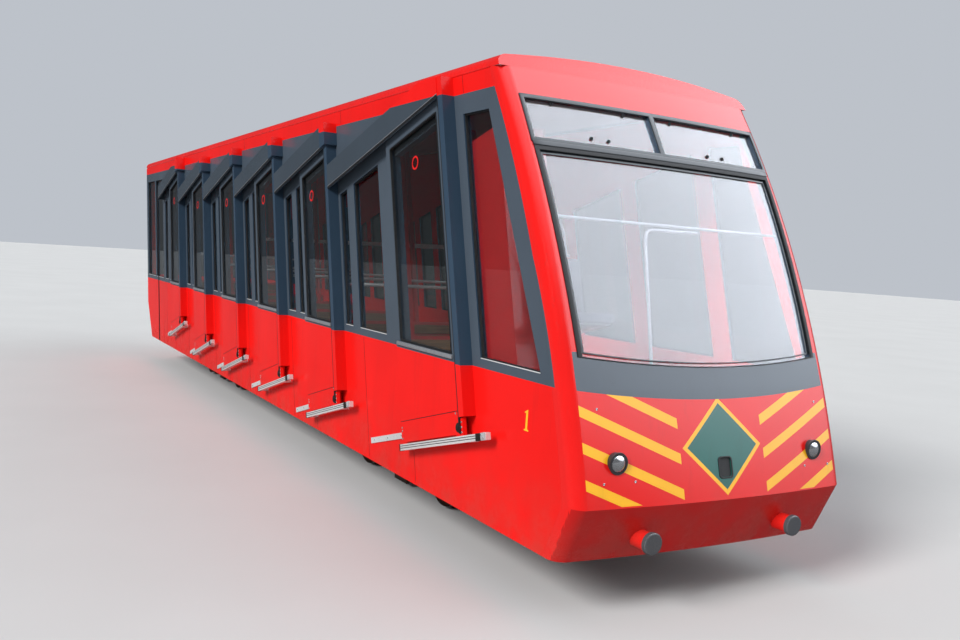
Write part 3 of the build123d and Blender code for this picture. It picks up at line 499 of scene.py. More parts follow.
print("stage: materials")
materials = {
    "wallPaint": buildBodyPaint("wallPaint", paint["grey"], 1.12, car["waist"], paintedRevealShade=True),
    "tailPaint": buildBodyPaint("tailPaint", paint["grey"], 1.12, car["waist"]),
    "doorPaint": buildBodyPaint("doorPaint", paint["grey"], 1.0, car["waist"], paintedRevealShade=True),
    "postPaint": buildBodyPaint("postPaint", paint["slate"], 1.0, car["waist"], 0.065),
    "coverPaint": buildBodyPaint("coverPaint", paint["coverGrey"], 1.0, 0.0),
    "nosePaint": buildNosePaint(),
    "roofPaint": buildRoofPaint(),
    "bufferPaint": buildBufferPaint(),
    "wheelSteel": buildWheelSteel(),
    "clearGlass": buildGlass("clearGlass", (0.62, 0.67, 0.67, 1), 0.0),
    # Painted shade: the far side's panes and the rear pane are tinted much darker than the near side's glass,
    # so the view through the car stays dark
    "shadedFarGlass": buildGlass("shadedFarGlass", (0.16, 0.20, 0.19, 1), 0.0),
    "frontGlass": buildGlass("frontGlass", (0.86, 0.88, 0.93, 1), 0.0, 1.6, 0.96),
    "lampGlass": buildGlass("lampGlass", (0.95, 0.96, 0.97, 1), 0.05),
    "benchWood": buildWood("benchWood", (0.20, 0.11, 0.05, 1), (0.10, 0.05, 0.022, 1)),
    "seatCloth": buildCloth("seatCloth", (0.02, 0.024, 0.045, 1), (0.12, 0.14, 0.22, 1)),
    "studFloor": buildFloor("studFloor", (0.045, 0.045, 0.048, 1), (0.10, 0.095, 0.09, 1)),
}
plainMaterials = {
    "cabinetPaint": (paint["deepRed"], indoorSurface, {"Coat_Weight": 0.4}),
    "redTrim": (paint["red"], glossPaint, {"Coat_Weight": 0.4}),
    "framePaint": ((0.018, 0.018, 0.020, 1), gearSurface, {}),
    "gearSteel": ((0.045, 0.038, 0.034, 1), gearSurface, {"Metallic": 0.6}),
    "aluminium": ((0.82, 0.81, 0.80, 1), metalSurface, {"Metallic": 0.35}),
    "brightSteel": ((0.70, 0.70, 0.71, 1), glossed(metalSurface, 0.12, 0.24), {"Metallic": 0.5}),
    "chrome": ((0.85, 0.85, 0.86, 1), glossed(metalSurface, 0.03, 0.08, bump=0.01), {"Metallic": 0.85}),
    "sillMetal": ((0.30, 0.31, 0.33, 1), metalSurface, {"Metallic": 0.35}),
    "blackRubber": ((0.012, 0.012, 0.013, 1), rubberSurface, {}),
    "darkPlastic": ((0.03, 0.031, 0.034, 1), indoorSurface, {}),
    "paleTrim": ((0.60, 0.61, 0.60, 1), glossed(glossPaint, 0.3, 0.5), {}),
    "yellowVinyl": (paint["yellow"], glossed(glossPaint, 0.3, 0.4), {}),
    "frameSlate": ((0.022, 0.027, 0.032, 1), glossPaint, {}),
    "jointLine": (paint["seam"], rubberSurface, {}),
    "lampDome": ((0.75, 0.76, 0.78, 1), glossed(metalSurface, 0.08, 0.16, dust=0.0),
                 {"Metallic": 0.9, "Coat_Weight": 1.0, "Coat_Roughness": 0.02}),
    "tailLens": ((0.45, 0.01, 0.008, 1), glossed(glossPaint, 0.1, 0.16), {"Coat_Weight": 0.8}),
}
for name, (colour, surface, values) in plainMaterials.items():
    material, tree, shader = newMaterial(name, **values)
    finishSurface(tree, shader, colour, surface)
    materials[name] = material

wornBy = {
    "nosePaint": ["nose_frame", "nose_panel"],
    "frontGlass": ["front_glass"],
    "wallPaint": ["lower_wall_left", "lower_wall_right", "upper_wall_left", "upper_wall_right"],
    "tailPaint": ["tail_wall"],
    "clearGlass": ["side_glass_left"] + [f"door_glass_{n}" for n in range(1, 7)],
    "shadedFarGlass": ["side_glass_right", "rear_glass"],
    "roofPaint": ["roof"],
    "doorPaint": [f"door_{n}" for n in range(1, 7)],
    "postPaint": ["door_posts"],
    "coverPaint": ["door_covers"],
    "aluminium": ["door_rails", "window_bar"],
    "studFloor": ["floor_steps"],
    "framePaint": ["underframe", "bogie_front", "bogie_rear"],
    "gearSteel": ["rope_clevis", "rail_brakes_front", "rail_brakes_rear"],
    "wheelSteel": [f"axle_{n}" for n in range(1, 5)],
    "darkPlastic": ["headlamps", "driver_seat"],
    "lampGlass": ["lamp_glass"],
    "blackRubber": ["tail_lamps", "hatch_cover"],
    "bufferPaint": ["buffers"],
    "cabinetPaint": ["benches", "guard_posts", "cab_cabinet"],
    "benchWood": ["bench_slats"],
    "brightSteel": ["guard_rails"],
}
for material, names in wornBy.items():
    for name in names:
        nodes[name].data.materials.clear()
        nodes[name].data.materials.append(materials[material])


# Modelling helpers. Every finished piece lies at the origin with its place in its mesh.
def deselectAll():
    bpy.ops.object.select_all(action="DESELECT")


def pick(obj):
    deselectAll()
    obj.select_set(True)
    bpy.context.view_layer.objects.active = obj


def settle(obj):
    pick(obj)
    bpy.ops.object.transform_apply(location=True, rotation=True, scale=True)
    return obj


def applyModifier(obj, kind, **values):
    pick(obj)
    modifier = obj.modifiers.new(kind.lower(), kind)
    for label, value in values.items():
        setattr(modifier, label, value)
    bpy.ops.object.modifier_apply(modifier=modifier.name)
    return obj


def editAll(obj):
    pick(obj)
    bpy.ops.object.mode_set(mode="EDIT")
    bpy.ops.mesh.select_all(action="SELECT")


def leaveEdit(outwards=True):
    if outwards:
        bpy.ops.mesh.select_all(action="SELECT")
        bpy.ops.mesh.normals_make_consistent(inside=False)
    bpy.ops.object.mode_set(mode="OBJECT")


def join(objs):
    deselectAll()
    for obj in objs:
        obj.select_set(True)
    bpy.context.view_layer.objects.active = objs[0]
    if len(objs) > 1:
        bpy.ops.object.join()
    return objs[0]


# One finished piece, of several joined if a list is given: name, material, smoothing and body.
def dress(made, name, material, smooth=None, body="car_body"):
    obj = join(made) if isinstance(made, list) else made
    obj.name = name
    obj.data.name = name
    obj.data.materials.clear()
    obj.data.materials.append(materials[material])
    if smooth:
        pick(obj)
        bpy.ops.object.shade_smooth_by_angle(angle=math.radians(smooth))
    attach(obj, body)
    return obj


# One flat face through the given points.
def face(points):
    deselectAll()
    bpy.ops.mesh.primitive_circle_add(vertices=len(points), fill_type="NGON", location=(0, 0, 0))
    obj = bpy.context.active_object
    for vertex, point in zip(obj.data.vertices, points):
        vertex.co = point
    return obj


# A flat outline given body along the vector depth, its edges eased.
def plate(points, depth, bevel=0.0, segments=2):
    obj = face(points)
    editAll(obj)
    bpy.ops.mesh.extrude_region_move(TRANSFORM_OT_translate={"value": depth})
    leaveEdit()
    if bevel:
        applyModifier(obj, "BEVEL", width=bevel, segments=segments, limit_method="ANGLE")
    return obj


# A frame that lies inside the given outline.
def ring(points, width, depth, rounding=0.0, bevel=0.0):
    obj = face(points)
    editAll(obj)
    if rounding:
        bpy.ops.mesh.bevel(offset=rounding, segments=4, affect="VERTICES")
        bpy.ops.mesh.select_all(action="SELECT")
    bpy.ops.mesh.inset(thickness=width, use_boundary=True)
    bpy.ops.mesh.delete(type="FACE")
    bpy.ops.mesh.select_all(action="SELECT")
    bpy.ops.mesh.extrude_region_move(TRANSFORM_OT_translate={"value": depth})
    leaveEdit()
    if bevel:
        applyModifier(obj, "BEVEL", width=bevel, segments=2, limit_method="ANGLE")
    return obj


def inSide(corners, y):
    return [(x, y, z) for x, z in corners]


# A plate whose outline is a box along the level, in the plane at y.
def levelPlate(h0, h1, v0, v1, y, out, bevel=0.0, segments=2):
    return plate(inSide(levelBox(h0, h1, v0, v1), y), (0, out, 0), bevel, segments)


def hoop(radius, wire, centre, turn, around=40, across=8):
    deselectAll()
    bpy.ops.mesh.primitive_torus_add(location=centre, rotation=turn, major_radius=radius, minor_radius=wire,
                                     major_segments=around, minor_segments=across)
    return bpy.context.active_object


# A round bar along a line of points, with the corners already rounded.
def tube(points, radius):
    deselectAll()
    bpy.ops.curve.primitive_nurbs_path_add(location=(0, 0, 0))
    obj = bpy.context.active_object
    obj.data.splines.clear()
    spline = obj.data.splines.new("POLY")
    spline.points.add(len(points) - 1)
    for point, place in zip(spline.points, points):
        point.co = (*place, 1)
    obj.data.bevel_depth = radius
    obj.data.bevel_resolution = 2
    obj.data.use_fill_caps = True
    bpy.ops.object.convert(target="MESH")
    return bpy.context.active_object


# The same line with its inner corners turned into arcs.
def roundCorners(points, radius, steps=5):
    points = [Vector(p) for p in points]
    line = [points[0]]
    for before, corner, after in zip(points, points[1:], points[2:]):
        into, out = (before - corner), (after - corner)
        reach = min(radius, into.length / 2, out.length / 2)
        start, end = corner + into.normalized() * reach, corner + out.normalized() * reach
        for n in range(steps + 1):
            t = n / steps
            line.append(start * (1 - t) ** 2 + corner * 2 * t * (1 - t) + end * t ** 2)
    line.append(points[-1])
    return line


# A short round bar along an axis, its rim eased.
def disc(radius, length, centre, axis, vertices=20, bevel=0.0):
    deselectAll()
    turn = Vector(axis).to_track_quat("Z", "Y").to_euler()
    bpy.ops.mesh.primitive_cylinder_add(vertices=vertices, radius=radius, depth=length,
                                        location=centre, rotation=turn)
    obj = settle(bpy.context.active_object)
    if bevel:
        applyModifier(obj, "BEVEL", width=bevel, segments=2, limit_method="ANGLE")
    return obj


# A dished screw head with a hexagon socket.
def boltHead(radius, height, centre, axis):
    obj = disc(radius, height, (0, 0, 0), (0, 0, 1), vertices=12)
    editAll(obj)
    bpy.ops.mesh.select_all(action="DESELECT")
    bpy.ops.object.mode_set(mode="OBJECT")
    for polygon in obj.data.polygons:
        polygon.select = polygon.normal.z > 0.9
    bpy.ops.object.mode_set(mode="EDIT")
    bpy.ops.mesh.select_mode(type="FACE")
    bpy.ops.mesh.inset(thickness=radius * 0.45)
    bpy.ops.mesh.extrude_region_move(TRANSFORM_OT_translate={"value": (0, 0, -height * 0.6)})
    bpy.ops.mesh.select_mode(type="VERT")
    bpy.ops.object.mode_set(mode="OBJECT")
    applyModifier(obj, "BEVEL", width=radius * 0.12, segments=2, limit_method="ANGLE")
    obj.rotation_euler = Vector(axis).to_track_quat("Z", "Y").to_euler()
    obj.location = centre
    return settle(obj)


# Bolts of one kind at points (h, v) of the level, all on the plane at y of the door side.
def levelBolts(radius, height, y, places):
    heads = []
    for h, v in places:
        x, z = level(h, v)
        heads.append(boltHead(radius, height, (x, y, z), (0, -1, 0)))
    return heads


# The separate solids of a CAD node, each as a set of points.
def islands(node):
    mesh = nodes[node].data
    keys = [tuple(round(c, 4) for c in vertex.co) for vertex in mesh.vertices]
    parent = {key: key for key in keys}

    def root(key):
        while parent[key] != key:
            parent[key] = parent[parent[key]]
            key = parent[key]
        return key

    for polygon in mesh.polygons:
        first = root(keys[polygon.vertices[0]])
        for index in polygon.vertices[1:]:
            other = root(keys[index])
            if other != first:
                parent[other] = first
    found = {}
    for key in parent:
        found.setdefault(root(key), []).append(key)
    return sorted(found.values(), key=lambda points: -max(p[0] for p in points))


# Corners of the convex outline of flat points, anticlockwise.
def hull(points):
    points = sorted(set(points))
    halves = []
    for run in (points, points[::-1]):
        half = []
        for p in run:
            while len(half) > 1:
                (ax, ay), (bx, by) = half[-2], half[-1]
                if (bx - ax) * (p[1] - ay) - (by - ay) * (p[0] - ax) > 1e-5:
                    break
                half.pop()
            half.append(p)
        halves.append(half[:-1])
    return halves[0] + halves[1]


# For each pane of a glazed node: its corners in X and Z, and its two faces' Y.
def paneCorners(node):
    panes = []
    for points in islands(node):
        ys = [p[1] for p in points]
        panes.append((hull([(p[0], p[2]) for p in points]), min(ys), max(ys)))
    return panes


# A flat outline of y and z laid on the valley end, with points added so that it follows the bow.
def onNose(outline, lift, perSide=14):
    line = []
    for (y0, z0), (y1, z1) in zip(outline, outline[1:] + outline[:1]):
        for n in range(perSide):
            y, z = y0 + (y1 - y0) * n / perSide, z0 + (z1 - z0) * n / perSide
            line.append((noseX(y, z) + lift, y, z))
    return line


# A frame round an opening: its inner edge is the outline, its width runs outwards.
def noseRing(outline, width, lift, thick):
    inner = onNose(outline, lift)
    middleY = sum(p[1] for p in inner) / len(inner)
    middleZ = sum(p[2] for p in inner) / len(inner)
    halfY = max(abs(p[1] - middleY) for p in inner)
    halfZ = max(abs(p[2] - middleZ) for p in inner)
    outer = []
    for _, y, z in inner:
        far = (middleY + (y - middleY) * (1 + width / halfY), middleZ + (z - middleZ) * (1 + width / halfZ))
        outer.append((noseX(*far) + lift, *far))
    obj = join([face(inner), face(outer)])
    editAll(obj)
    bpy.ops.mesh.delete(type="ONLY_FACE")
    bpy.ops.mesh.select_all(action="SELECT")
    bpy.ops.mesh.bridge_edge_loops()
    leaveEdit()
    return thicken(obj, thick, min(thick, width))


# A strip on the surface; its outline is foot left, foot right, head right, head left.
def noseStrip(outline, lift, thick, perSide=24):
    (y0, z0), (y1, z1), (y2, z2), (y3, z3) = outline
    deselectAll()
    bpy.ops.mesh.primitive_grid_add(x_subdivisions=perSide, y_subdivisions=3, size=1, location=(0, 0, 0))
    obj = bpy.context.active_object
    for vertex in obj.data.vertices:
        s, t = vertex.co.x + 0.5, vertex.co.y + 0.5
        y = (y0 + (y1 - y0) * s) * (1 - t) + (y3 + (y2 - y3) * s) * t
        z = (z0 + (z1 - z0) * s) * (1 - t) + (z3 + (z2 - z3) * s) * t
        vertex.co = (noseX(y, z) + lift, y, z)
    editAll(obj)
    leaveEdit()
    return thicken(obj, thick, thick)


def thicken(obj, thick, least):
    applyModifier(obj, "SOLIDIFY", thickness=thick, offset=0)
    return applyModifier(obj, "BEVEL", width=least * 0.3, segments=2, limit_method="ANGLE")


screen = {"footHalf": 1.010, "footZ": 1.625, "bow": 0.057, "headHalf": 1.035, "headZ": 2.915}


# Corners of the windscreen's opening, its sill bowed down, drawn in by the inset.
def windscreenOutline(inset):
    foot, head = screen["footHalf"] - inset, screen["headHalf"] - inset
    sill = []
    for n in range(13):
        y = -foot + 2 * foot * n / 12
        sill.append((y, screen["footZ"] + inset - screen["bow"] * (1 - (y / foot) ** 2)))
    return sill + [(head, screen["headZ"] - inset), (-head, screen["headZ"] - inset)]


def makeFrontFrames():
    rubber = {"inset": 0.008, "wide": 0.033, "lift": 0.002, "thick": 0.012}
    border = {"inset": 0.032, "wide": 0.044, "lift": -0.011, "thick": 0.003}
    for name, material, trim in (("windscreenRubber", "blackRubber", rubber),
                                 ("windscreenBorder", "frameSlate", border)):
        made = noseRing(windscreenOutline(trim["inset"]), trim["wide"], trim["lift"], trim["thick"])
        dress(made, name, material, 35)
    vent = {"foot": 2.991, "head": 3.262, "near": 0.022, "far": 1.040, "wide": 0.03, "lift": 0.003,
            "thick": 0.016, "stripFoot": 2.937, "stripHead": 2.971, "stripHalf": (1.062, 1.066),
            "stripLift": 0.005}
    frames = []
    for near, far in ((-vent["far"], -vent["near"]), (vent["near"], vent["far"])):
        outline = [(near, vent["foot"]), (far, vent["foot"]), (far, vent["head"]), (near, vent["head"])]
        frames.append(noseRing(outline, vent["wide"], vent["lift"], vent["thick"]))
    low, high = vent["stripHalf"]
    frames.append(noseStrip([(-low, vent["stripFoot"]), (low, vent["stripFoot"]), (high, vent["stripHead"]),
                             (-high, vent["stripHead"])], vent["stripLift"], vent["thick"]))
    dress(frames, "ventFrames", "frameSlate", 35)
    knob = {"radius": 0.013, "height": 0.012, "lift": -0.014, "axis": (1, 0, 0.42),
            "places": [(-0.83, 3.246), (-0.243, 3.240), (-0.58, 3.035), (-0.441, 3.031),
                       (0.187, 3.238), (0.834, 3.241), (0.466, 3.027), (0.622, 3.028)]}
    screw = {"radius": 0.008, "height": 0.005, "lift": 0.002, "axis": (1, 0, 0.1),
             "places": [(-0.948, 0.903), (-0.724, 0.908), (0.755, 0.918), (1.008, 0.912),
                        (-0.948, 1.33), (0.948, 1.33)]}
    for name, slot, material, kind in (("ventKnobs", "frame_paint", "blackRubber", knob),
                                       ("noseScrews", "chrome", "chrome", screw)):
        heads = [boltHead(kind["radius"], kind["height"], (noseX(y, z) + kind["lift"], y, z), kind["axis"])
                 for y, z in kind["places"]]
        dress(heads, name, material, 35)


# Rubber and light beads of the side windows. On the far side the beads lie flush with the wall.
def makeWindowTrim():
    trim = {"rubberWide": 0.013, "rubberDeep": 0.016, "rounding": 0.012, "bead": 0.006, "beadDeep": 0.006,
            "beadIn": 0.004, "sink": {"left": 0.004, "right": 0.0062}}
    for side, sign in (("left", -1), ("right", 1)):
        rings, beads = [], []
        wallY = sign * (car["halfWidth"] - trim["sink"][side])
        for corners, y0, y1 in paneCorners(f"side_glass_{side}"):
            outerY = y0 if sign < 0 else y1
            rings.append(ring(inSide(corners, outerY), trim["rubberWide"], (0, sign * trim["rubberDeep"], 0),
                              trim["rounding"]))
            (xa, za), (xb, zb) = sorted(sorted(corners, key=lambda c: c[1])[:2])
            xa, xb = xa + trim["beadIn"], xb - trim["beadIn"]
            beads.append(plate([(xa, wallY, za), (xb, wallY, zb), (xb, wallY, zb + trim["bead"]),
                                (xa, wallY, za + trim["bead"])], (0, sign * trim["beadDeep"], 0), 0.001))
        dress(rings, f"sideRubbers.{side}", "blackRubber", 35)
        dress(beads, f"sillBeads.{side}", "paleTrim", 35)


# What every door leaf carries
def makeDoorTrim(number):
    door = {"foot": 0.165, "head": 2.35, "skin": 0.001, "rubberWide": 0.014, "rubberOut": 0.003,
            "rounding": 0.02, "sealWide": 0.034, "sealOut": 0.006, "jointHalf": 0.0025, "jointOut": 0.0016,
            "edgeWide": 0.006, "edgeOut": 0.0035, "sillOut": 0.020, "sillLeft": 0.035, "sillRight": 0.02,
            "sillFoot": 0.034, "sillHead": 0.004}
    body = doorBodies[number]
    left, right, floorV = leafLefts[number], leafRights[number], floorVs[number]
    skinY, foot, head = leafOuterY + door["skin"], floorV - door["foot"], floorV + door["head"]
    sealLeft = right - door["sealWide"]
    corners, y0, _ = paneCorners(f"door_glass_{number + 1}")[0]
    rubber = ring(inSide(corners, y0), door["rubberWide"], (0, leafOuterY - y0 - door["rubberOut"], 0),
                  door["rounding"])
    seal = levelPlate(sealLeft, right + 0.004, foot, head, skinY, -door["sealOut"], 0.002)
    joint = levelPlate(left + 0.002, sealLeft, floorV - door["jointHalf"], floorV + door["jointHalf"], skinY,
                       -door["jointOut"])
    dress([rubber, seal, joint], f"doorRubber.{number + 1}", "blackRubber", 35, body)
    edge = levelPlate(sealLeft - door["edgeWide"], sealLeft, foot, head, skinY, -door["edgeOut"], 0.001)
    (xa, za), (xb, zb) = sorted(sorted(corners, key=lambda c: c[1])[:2])
    xa, xb = xa - door["sillLeft"], xb + door["sillRight"]
    sill = plate([(xa, skinY, za - door["sillFoot"]), (xb, skinY, zb - door["sillFoot"]),
                  (xb, skinY, zb - door["sillHead"]), (xa, skinY, za - door["sillHead"])],
                 (0, -door["sillOut"], 0), 0.005, 3)
    dress([edge, sill], f"doorSill.{number + 1}", "sillMetal", 35, body)
    # Screws along both edges of the foot, and those of the roller's carrier
    screw = {"radius": 0.008, "height": 0.005, "lift": 0.0015, "valley": 0.045, "uphill": 0.022, "shift": 0.02,
             "drops": {"uphill": (0.05, 0.075, 0.135), "valley": (0.015, 0.075, 0.132)},
             "carrierRadius": 0.007, "carrierHeight": 0.006, "carrierRight": 0.052,
             "carrierDrops": (0.085, 0.12, 0.155)}
    carrierY = leafOuterY - 0.031
    places = []
    for h, drops, shift in ((left + screw["uphill"], screw["drops"]["uphill"], 0),
                            (sealLeft - screw["valley"], screw["drops"]["valley"], screw["shift"])):
        for n, drop in enumerate(drops):
            places.append((h + (shift if n == 1 else 0), floorV - drop))
    heads = levelBolts(screw["radius"], screw["height"], leafOuterY - screw["lift"], places)
    places = [(right + screw["carrierRight"], floorV - drop) for drop in screw["carrierDrops"]]
    heads += levelBolts(screw["carrierRadius"], screw["carrierHeight"], carrierY - 0.001, places)
    dress(heads, f"doorScrews.{number + 1}", "chrome", 35, body)
    roller = {"right": 0.012, "drop": 0.12, "radius": 0.034, "thick": 0.012, "out": 0.005, "hub": 0.014,
              "hubThick": 0.02, "hubOut": 0.006}
    x, z = level(right + roller["right"], floorV - roller["drop"])
    wheel = disc(roller["radius"], roller["thick"], (x, carrierY - roller["out"], z), (0, 1, 0), 28, 0.003)
    hub = disc(roller["hub"], roller["hubThick"], (x, carrierY - roller["hubOut"], z), (0, 1, 0), 16, 0.003)
    dress([wheel, hub], f"doorRoller.{number + 1}", "gearSteel", 35, body)
    sign = {"radius": 0.0475, "wire": 0.0075, "flat": 0.12, "back": 0.5, "up": 1.975, "out": 0.0008}
    x, z = level(right - sign["back"], floorV + sign["up"])
    hoopSign = hoop(sign["radius"], sign["wire"], (x, y0 - sign["out"], z), (math.pi / 2, 0, 0), 36, 6)
    hoopSign.scale = (1, 1, sign["flat"])
    dress(settle(hoopSign), f"signRing.{number + 1}", "redTrim", 35, body)


# Grooves, end pieces and bolts of the rails at the doors' feet
def makeRailTrim():
    rail = {"topV": -0.18, "high": 0.048, "outY": -1.250, "ahead": 0.28, "behind": 0.10,
            "grooves": (0.28, 0.62), "grooveHalf": 0.0025, "grooveOut": 0.0016, "proud": 0.003,
            "backY": -1.213, "bolt": 0.007}
    short = {"from": 0.12, "to": 0.02, "up": 0.076, "y": -1.1605, "shares": (0.12, 0.50, 0.88)}
    dark, bright, heads = [], [], []
    for number in range(6):
        h0 = leafRights[number] - doorTravels[number] - rail["behind"]
        h1 = postHs[number] + rail["ahead"]
        top = floorVs[number] + rail["topV"]
        foot = top - rail["high"]
        for share in rail["grooves"]:
            v = top - rail["high"] * share
            dark.append(levelPlate(h0 + 0.01, h1 - 0.13, v - rail["grooveHalf"], v + rail["grooveHalf"],
                                   rail["outY"] + 0.001, -rail["grooveOut"]))
        dark.append(levelPlate(h1 - 0.13, h1 - 0.065, foot - 0.002, top + 0.002, rail["outY"] + 0.02,
                               -0.026, 0.003))
        v0, v1 = foot - rail["proud"], top + rail["proud"]
        dark.append(levelPlate(h0 - 0.004, h0 + 0.006, v0, v1, rail["backY"], -0.041, 0.002))
        bright.append(levelPlate(h1 - 0.06, h1 - 0.004, v0, v1, rail["backY"], -0.045, 0.005, 3))
        heads += levelBolts(rail["bolt"], 0.005, rail["outY"] - 0.009,
                            [(h1 - 0.045, top - 0.012), (h1 - 0.02, top - 0.036)])
        # The short second rail uphill of the leaf
        shortLeft = leafLefts[number] - doorTravels[number] + short["from"]
        shortRight = leafLefts[number] - short["to"]
        heads += levelBolts(rail["bolt"], 0.004, short["y"],
                            [(shortLeft + (shortRight - shortLeft) * share, top + short["up"])
                             for share in short["shares"]])
    dress(dark, "railGrooves", "gearSteel", 35)
    dress(bright, "railEnds", "brightSteel", 35)
    dress(heads, "railBolts", "chrome", 35)


# A light lip along the lower edge of each cover over the door hangers, with a black band below it as painted
# shadow of the gap
def makeCoverEdges():
    edge = {"seal": 0.022, "lip": 0.005, "sealOut": 0.002, "lipOut": 0.003, "bevel": 0.0008, "near": 0.003}
    ahead, up = math.cos(car["slope"]), math.sin(car["slope"])
    lips, shadowBands = [], []
    for points in islands("door_covers"):
        outer = min(p[1] for p in points) + 0.001
        flat = []
        for px, _, pz in points:
            x, z = px - car["datumX"], pz - car["datumZ"]
            flat.append((x * ahead + z * up, z * ahead - x * up))
        foot = min(v for _, v in flat)
        hs = [h for h, v in flat if v < foot + edge["near"]]
        h0, h1 = min(hs) + 0.002, max(hs) - 0.002
        lipFoot = foot + edge["seal"]
        # Painted shadow: a black band below the lip where the gap lies in shade
        shadowBands.append(levelPlate(h0, h1, foot + 0.001, lipFoot, outer, -edge["sealOut"], edge["bevel"]))
        lips.append(levelPlate(h0, h1, lipFoot, lipFoot + edge["lip"], outer, -edge["lipOut"], edge["bevel"]))
    dress(lips, "coverLips", "sillMetal")
    dress(shadowBands, "coverShadowBands", "blackRubber")


# A rubber strip down the uphill edge of each post
def makePostSeals():
    seal = {"wide": 0.012, "deep": 0.014, "postWide": 0.0705, "postOut": 1.25, "foot": 0.165, "head": 2.285}
    strips = []
    for number, postH in enumerate(postHs):
        floorV = floorVs[min(number, 5)]
        h1 = postH - seal["postWide"]
        h0 = h1 - seal["wide"]
        head = upright(h1, car["bandTop"])[1] if number == 0 else level(h1, floorV + seal["head"])[1]
        foot = level(h1, floorV - seal["foot"])[1]
        corners = [upright(h0, foot), upright(h1, foot), upright(h1, head), upright(h0, head)]
        strips.append(plate(inSide(corners, seal["deep"] - seal["postOut"]), (0, -seal["deep"], 0), 0.002))
    dress(strips, "postSeals", "blackRubber")


# Lines on the body sides: panel joints, gutters, the numeral. Those of the far side lie in its wall.
def makeSideLines():
    lines = {"half": 0.002, "out": 0.0012, "shift": {-1: 0.0003, 1: -0.0007}, "foot": 0.42, "doorway": 0.088,
             "behind": 0.05, "railDrop": 0.25, "waistDrop": 0.01, "seamFrom": 3.352,
             "seams": (-0.98, -3.3, -6.5, -9.7)}
    joints = []
    for sign in (-1, 1):
        y = sign * (car["halfWidth"] + lines["shift"][sign] - lines["out"] / 2)
        runs = []
        for number in range(6):
            low = leafLefts[number] + lines["doorway"]
            railZ = level(low, floorVs[number] - lines["railDrop"])[1]
            runs.append((low, lines["foot"], railZ))
            runs.append((leafLefts[number] - doorTravels[number] + lines["behind"], lines["foot"],
                         car["waist"] - lines["waistDrop"]))
        runs += [(h, lines["seamFrom"], car["wallTop"]) for h in lines["seams"]]
        for h, footZ, headZ in runs:
            foot, head = upright(h, footZ), upright(h, headZ)
            joints.append(plate([(foot[0] - lines["half"], y, foot[1]), (foot[0] + lines["half"], y, foot[1]),
                                 (head[0] + lines["half"], y, head[1]), (head[0] - lines["half"], y, head[1])],
                                (0, sign * lines["out"], 0)))
    dress(joints, "panelJoints", "jointLine")
    gutter = {"radius": 0.005, "shift": {-1: 0.001, 1: -0.0052}, "up": 0.002, "headIn": 0.12, "tailIn": 0.03}
    headX = noseX(1.1, car["wallTop"]) - gutter["headIn"]
    tailX = upright(car["tailH"], car["wallTop"])[0] + gutter["tailIn"]
    z = car["wallTop"] + gutter["up"]
    gutters = []
    for sign in (-1, 1):
        y = sign * (car["halfWidth"] + gutter["shift"][sign])
        gutters.append(tube([(tailX, y, z), (headX, y, z)], gutter["radius"]))
    dress(gutters, "roofGutters", "redTrim", 40)
    one = {"x": 6.45, "z": 1.12, "y": -1.149, "out": 0.0022}
    shape = [(-0.026, 0), (0.026, 0), (0.026, 0.007), (0.010, 0.013), (0.010, 0.135), (0.004, 0.135),
             (-0.026, 0.118), (-0.024, 0.111), (-0.010, 0.116), (-0.010, 0.013), (-0.026, 0.007)]
    numeral = plate([(one["x"] + dx, one["y"], one["z"] + dz) for dx, dz in shape], (0, -one["out"], 0))
    dress(numeral, "numeralOne", "yellowVinyl")


# Lamps, buffers and hatch of the valley end
def makeFrontFittings():
    acrossNose = (0, math.pi / 2, 0)
    lamp = {"y": 0.848, "z": 1.02, "faceX": 7.014, "radius": 0.055, "bulge": 0.024, "cut": 0.002,
            "back": 0.012, "bezel": 0.059, "wire": 0.004, "bezelBack": 0.004}
    buffer = {"y": 0.610, "z": 0.535, "faceX": 7.105, "radius": 0.0655, "wire": 0.0028, "back": 0.0065}
    domes, bezels, rims = [], [], []
    for sign in (-1, 1):
        deselectAll()
        bpy.ops.mesh.primitive_uv_sphere_add(segments=32, ring_count=16, radius=lamp["radius"],
                                             location=(0, 0, 0))
        dome = bpy.context.active_object
        editAll(dome)
        bpy.ops.mesh.bisect(plane_co=(lamp["cut"], 0, 0), plane_no=(-1, 0, 0), clear_outer=True, use_fill=True)
        leaveEdit()
        dome.scale = (lamp["bulge"] / lamp["radius"], 1, 1)
        dome.location = (lamp["faceX"] - lamp["back"], sign * lamp["y"], lamp["z"])
        domes.append(settle(dome))
        centre = (lamp["faceX"] - lamp["bezelBack"], sign * lamp["y"], lamp["z"])
        bezels.append(settle(hoop(lamp["bezel"], lamp["wire"], centre, acrossNose)))
        centre = (buffer["faceX"] - buffer["back"], sign * buffer["y"], buffer["z"])
        rims.append(settle(hoop(buffer["radius"], buffer["wire"], centre, acrossNose)))
    dress(domes, "lampDomes", "lampDome", 60)
    dress(bezels, "lampBezels", "blackRubber", 60)
    dress(rims, "bufferRims", "aluminium", 60)
    hatch = {"z": 0.955, "half": 0.05, "halfHigh": 0.058, "wide": 0.010, "round": 0.02, "lift": 0.001,
             "thick": 0.006}
    flatHalf, flatHigh = hatch["half"] - hatch["round"], hatch["halfHigh"] - hatch["round"]
    outline = []
    for corner, (sy, sz) in enumerate(((-1, -1), (1, -1), (1, 1), (-1, 1))):
        for n in range(5):
            a = math.pi + (corner + n / 4) * math.pi / 2
            outline.append((sy * flatHalf + hatch["round"] * math.cos(a),
                            hatch["z"] + sz * flatHigh + hatch["round"] * math.sin(a)))
    dress(noseRing(outline, hatch["wide"], hatch["lift"], hatch["thick"]), "hatchRubber",
          "blackRubber", 40)


